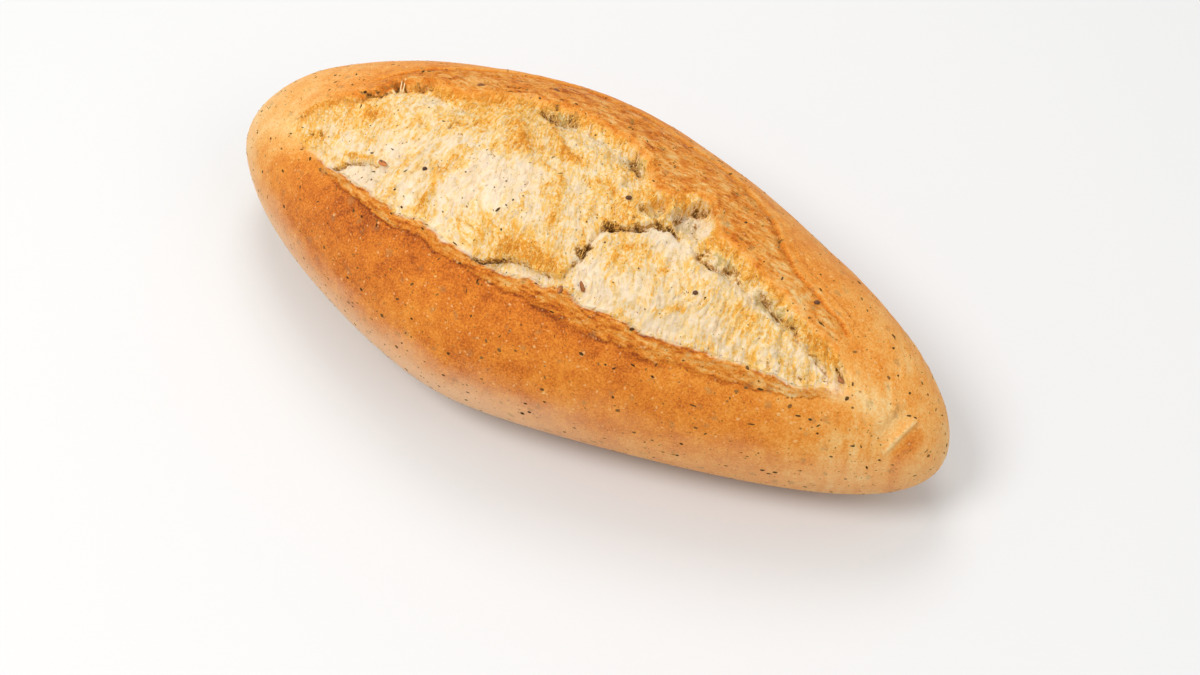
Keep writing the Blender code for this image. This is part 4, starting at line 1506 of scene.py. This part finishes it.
@dataclass(frozen=True)
class Lamp:
    """A round soft lamp that hangs in a direction from the loaf."""

    name: str
    direction: tuple[float, float, float]
    distance: float
    size: float
    power: float
    colour: tuple[float, float, float] = (1.0, 0.99, 0.97)

    def hang(self) -> None:
        """Hangs the lamp, which shines at the loaf."""
        data = bpy.data.lights.new(self.name, "AREA")
        data.shape, data.size, data.energy, data.color = "DISK", self.size, self.power, self.colour
        lamp = bpy.data.objects.new(self.name, data)
        away = Vector(self.direction).normalized()
        turned = away.to_track_quat("Z", "Y").to_matrix().to_4x4()
        lamp.matrix_world = Matrix.Translation(away * self.distance) @ turned
        bpy.context.scene.collection.objects.link(lamp)


@dataclass
class Studio:
    """The floor, the light and the camera."""

    azimuth: float = 33.0
    elevation: float = 51.68
    distance: float = 0.6645
    aim: tuple[float, float, float] = (0.0118, -0.0023, 0.0)
    roll: float = -0.6
    lens: float = 50.0
    sensor: float = 36.0
    floor_size: float = 6.0
    floor_gap: float = 0.0002
    lamps: tuple[Lamp, ...] = (
        Lamp("front lamp", (-0.34, -0.55, 1.0), 1.6, 0.7, 13.0),
        Lamp("back lamp", (-0.35, 0.5, 1.0), 1.6, 0.8, 7.4),
        Lamp("right lamp", (0.9, -0.15, 0.8), 1.6, 1.0, 4.0),
    )
    sky: Colour = (0.985, 0.99, 1.0, 1)
    sky_strength: float = 0.625

    def camera(self) -> None:
        """Places the camera at the photograph's viewing angle."""
        azimuth, elevation, roll = map(math.radians, (self.azimuth, self.elevation, self.roll))
        level, height = math.cos(elevation), math.sin(elevation)
        back = Vector((math.sin(azimuth) * level, -math.cos(azimuth) * level, height))
        flat_right = Vector((math.cos(azimuth), math.sin(azimuth), 0))
        flat_up = back.cross(flat_right)
        right = flat_right * math.cos(roll) + flat_up * math.sin(roll)
        up = back.cross(right)
        data = bpy.data.cameras.new("camera")
        data.lens, data.sensor_width = self.lens, self.sensor
        camera = bpy.data.objects.new("camera", data)
        turned = Matrix((right, up, back)).transposed().to_4x4()
        camera.matrix_world = Matrix.Translation(Vector(self.aim) + back * self.distance) @ turned
        bpy.context.scene.collection.objects.link(camera)
        bpy.context.scene.camera = camera

    def floor(self) -> None:
        """Lays the pale floor just under the loaf."""
        bm = bmesh.new()
        bmesh.ops.create_grid(bm, x_segments=1, y_segments=1, size=self.floor_size / 2)
        bmesh.ops.translate(bm, vec=(0, 0, -self.floor_gap), verts=bm.verts)
        mesh = bpy.data.meshes.new("floor")
        bm.to_mesh(mesh)
        bm.free()
        mesh.materials.append(FloorFinish().make())
        floor = bpy.data.objects.new("floor", mesh)
        bpy.context.scene.collection.objects.link(floor)

    def light(self) -> None:
        """Hangs the lamps in an evenly bright room."""
        for lamp in self.lamps:
            lamp.hang()
        world = bpy.data.worlds.new("room")
        world.use_nodes = True
        background = world.node_tree.nodes["Background"]
        background.inputs["Color"].default_value = self.sky
        background.inputs["Strength"].default_value = self.sky_strength
        bpy.context.scene.world = world
        bpy.context.scene.view_settings.view_transform = "Standard"

    def build(self) -> None:
        """Builds the studio."""
        self.camera()
        self.floor()
        self.light()


def main() -> None:
    """Builds the studio and every piece of the loaf.

    The loaf keeps ROOM millimetres inside its box, and its smooth form ends below the box's top, where the
    relief rises above it.
    """
    logging.basicConfig(level=logging.INFO, format="%(name)s %(message)s")
    Studio().build()
    low, high = (np.array(corner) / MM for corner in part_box(NODE))
    length, width, top = high - low
    form = LoafForm(length - 2 * ROOM, width, top * SMOOTH_TOP)
    inset = np.array((ROOM, ROOM, 0))
    skin = LoafSkin(form, Slash(), low=low + inset, high=high - np.array((ROOM, ROOM, ROOM)))
    skin.build()
    tree, faces = skin.tree(), SkinFaces(skin)
    Seeds().build(tree)
    NettleFlecks(faces).build(tree)
    TornBits(faces).build(tree)


if __name__ == "__main__":
    main()
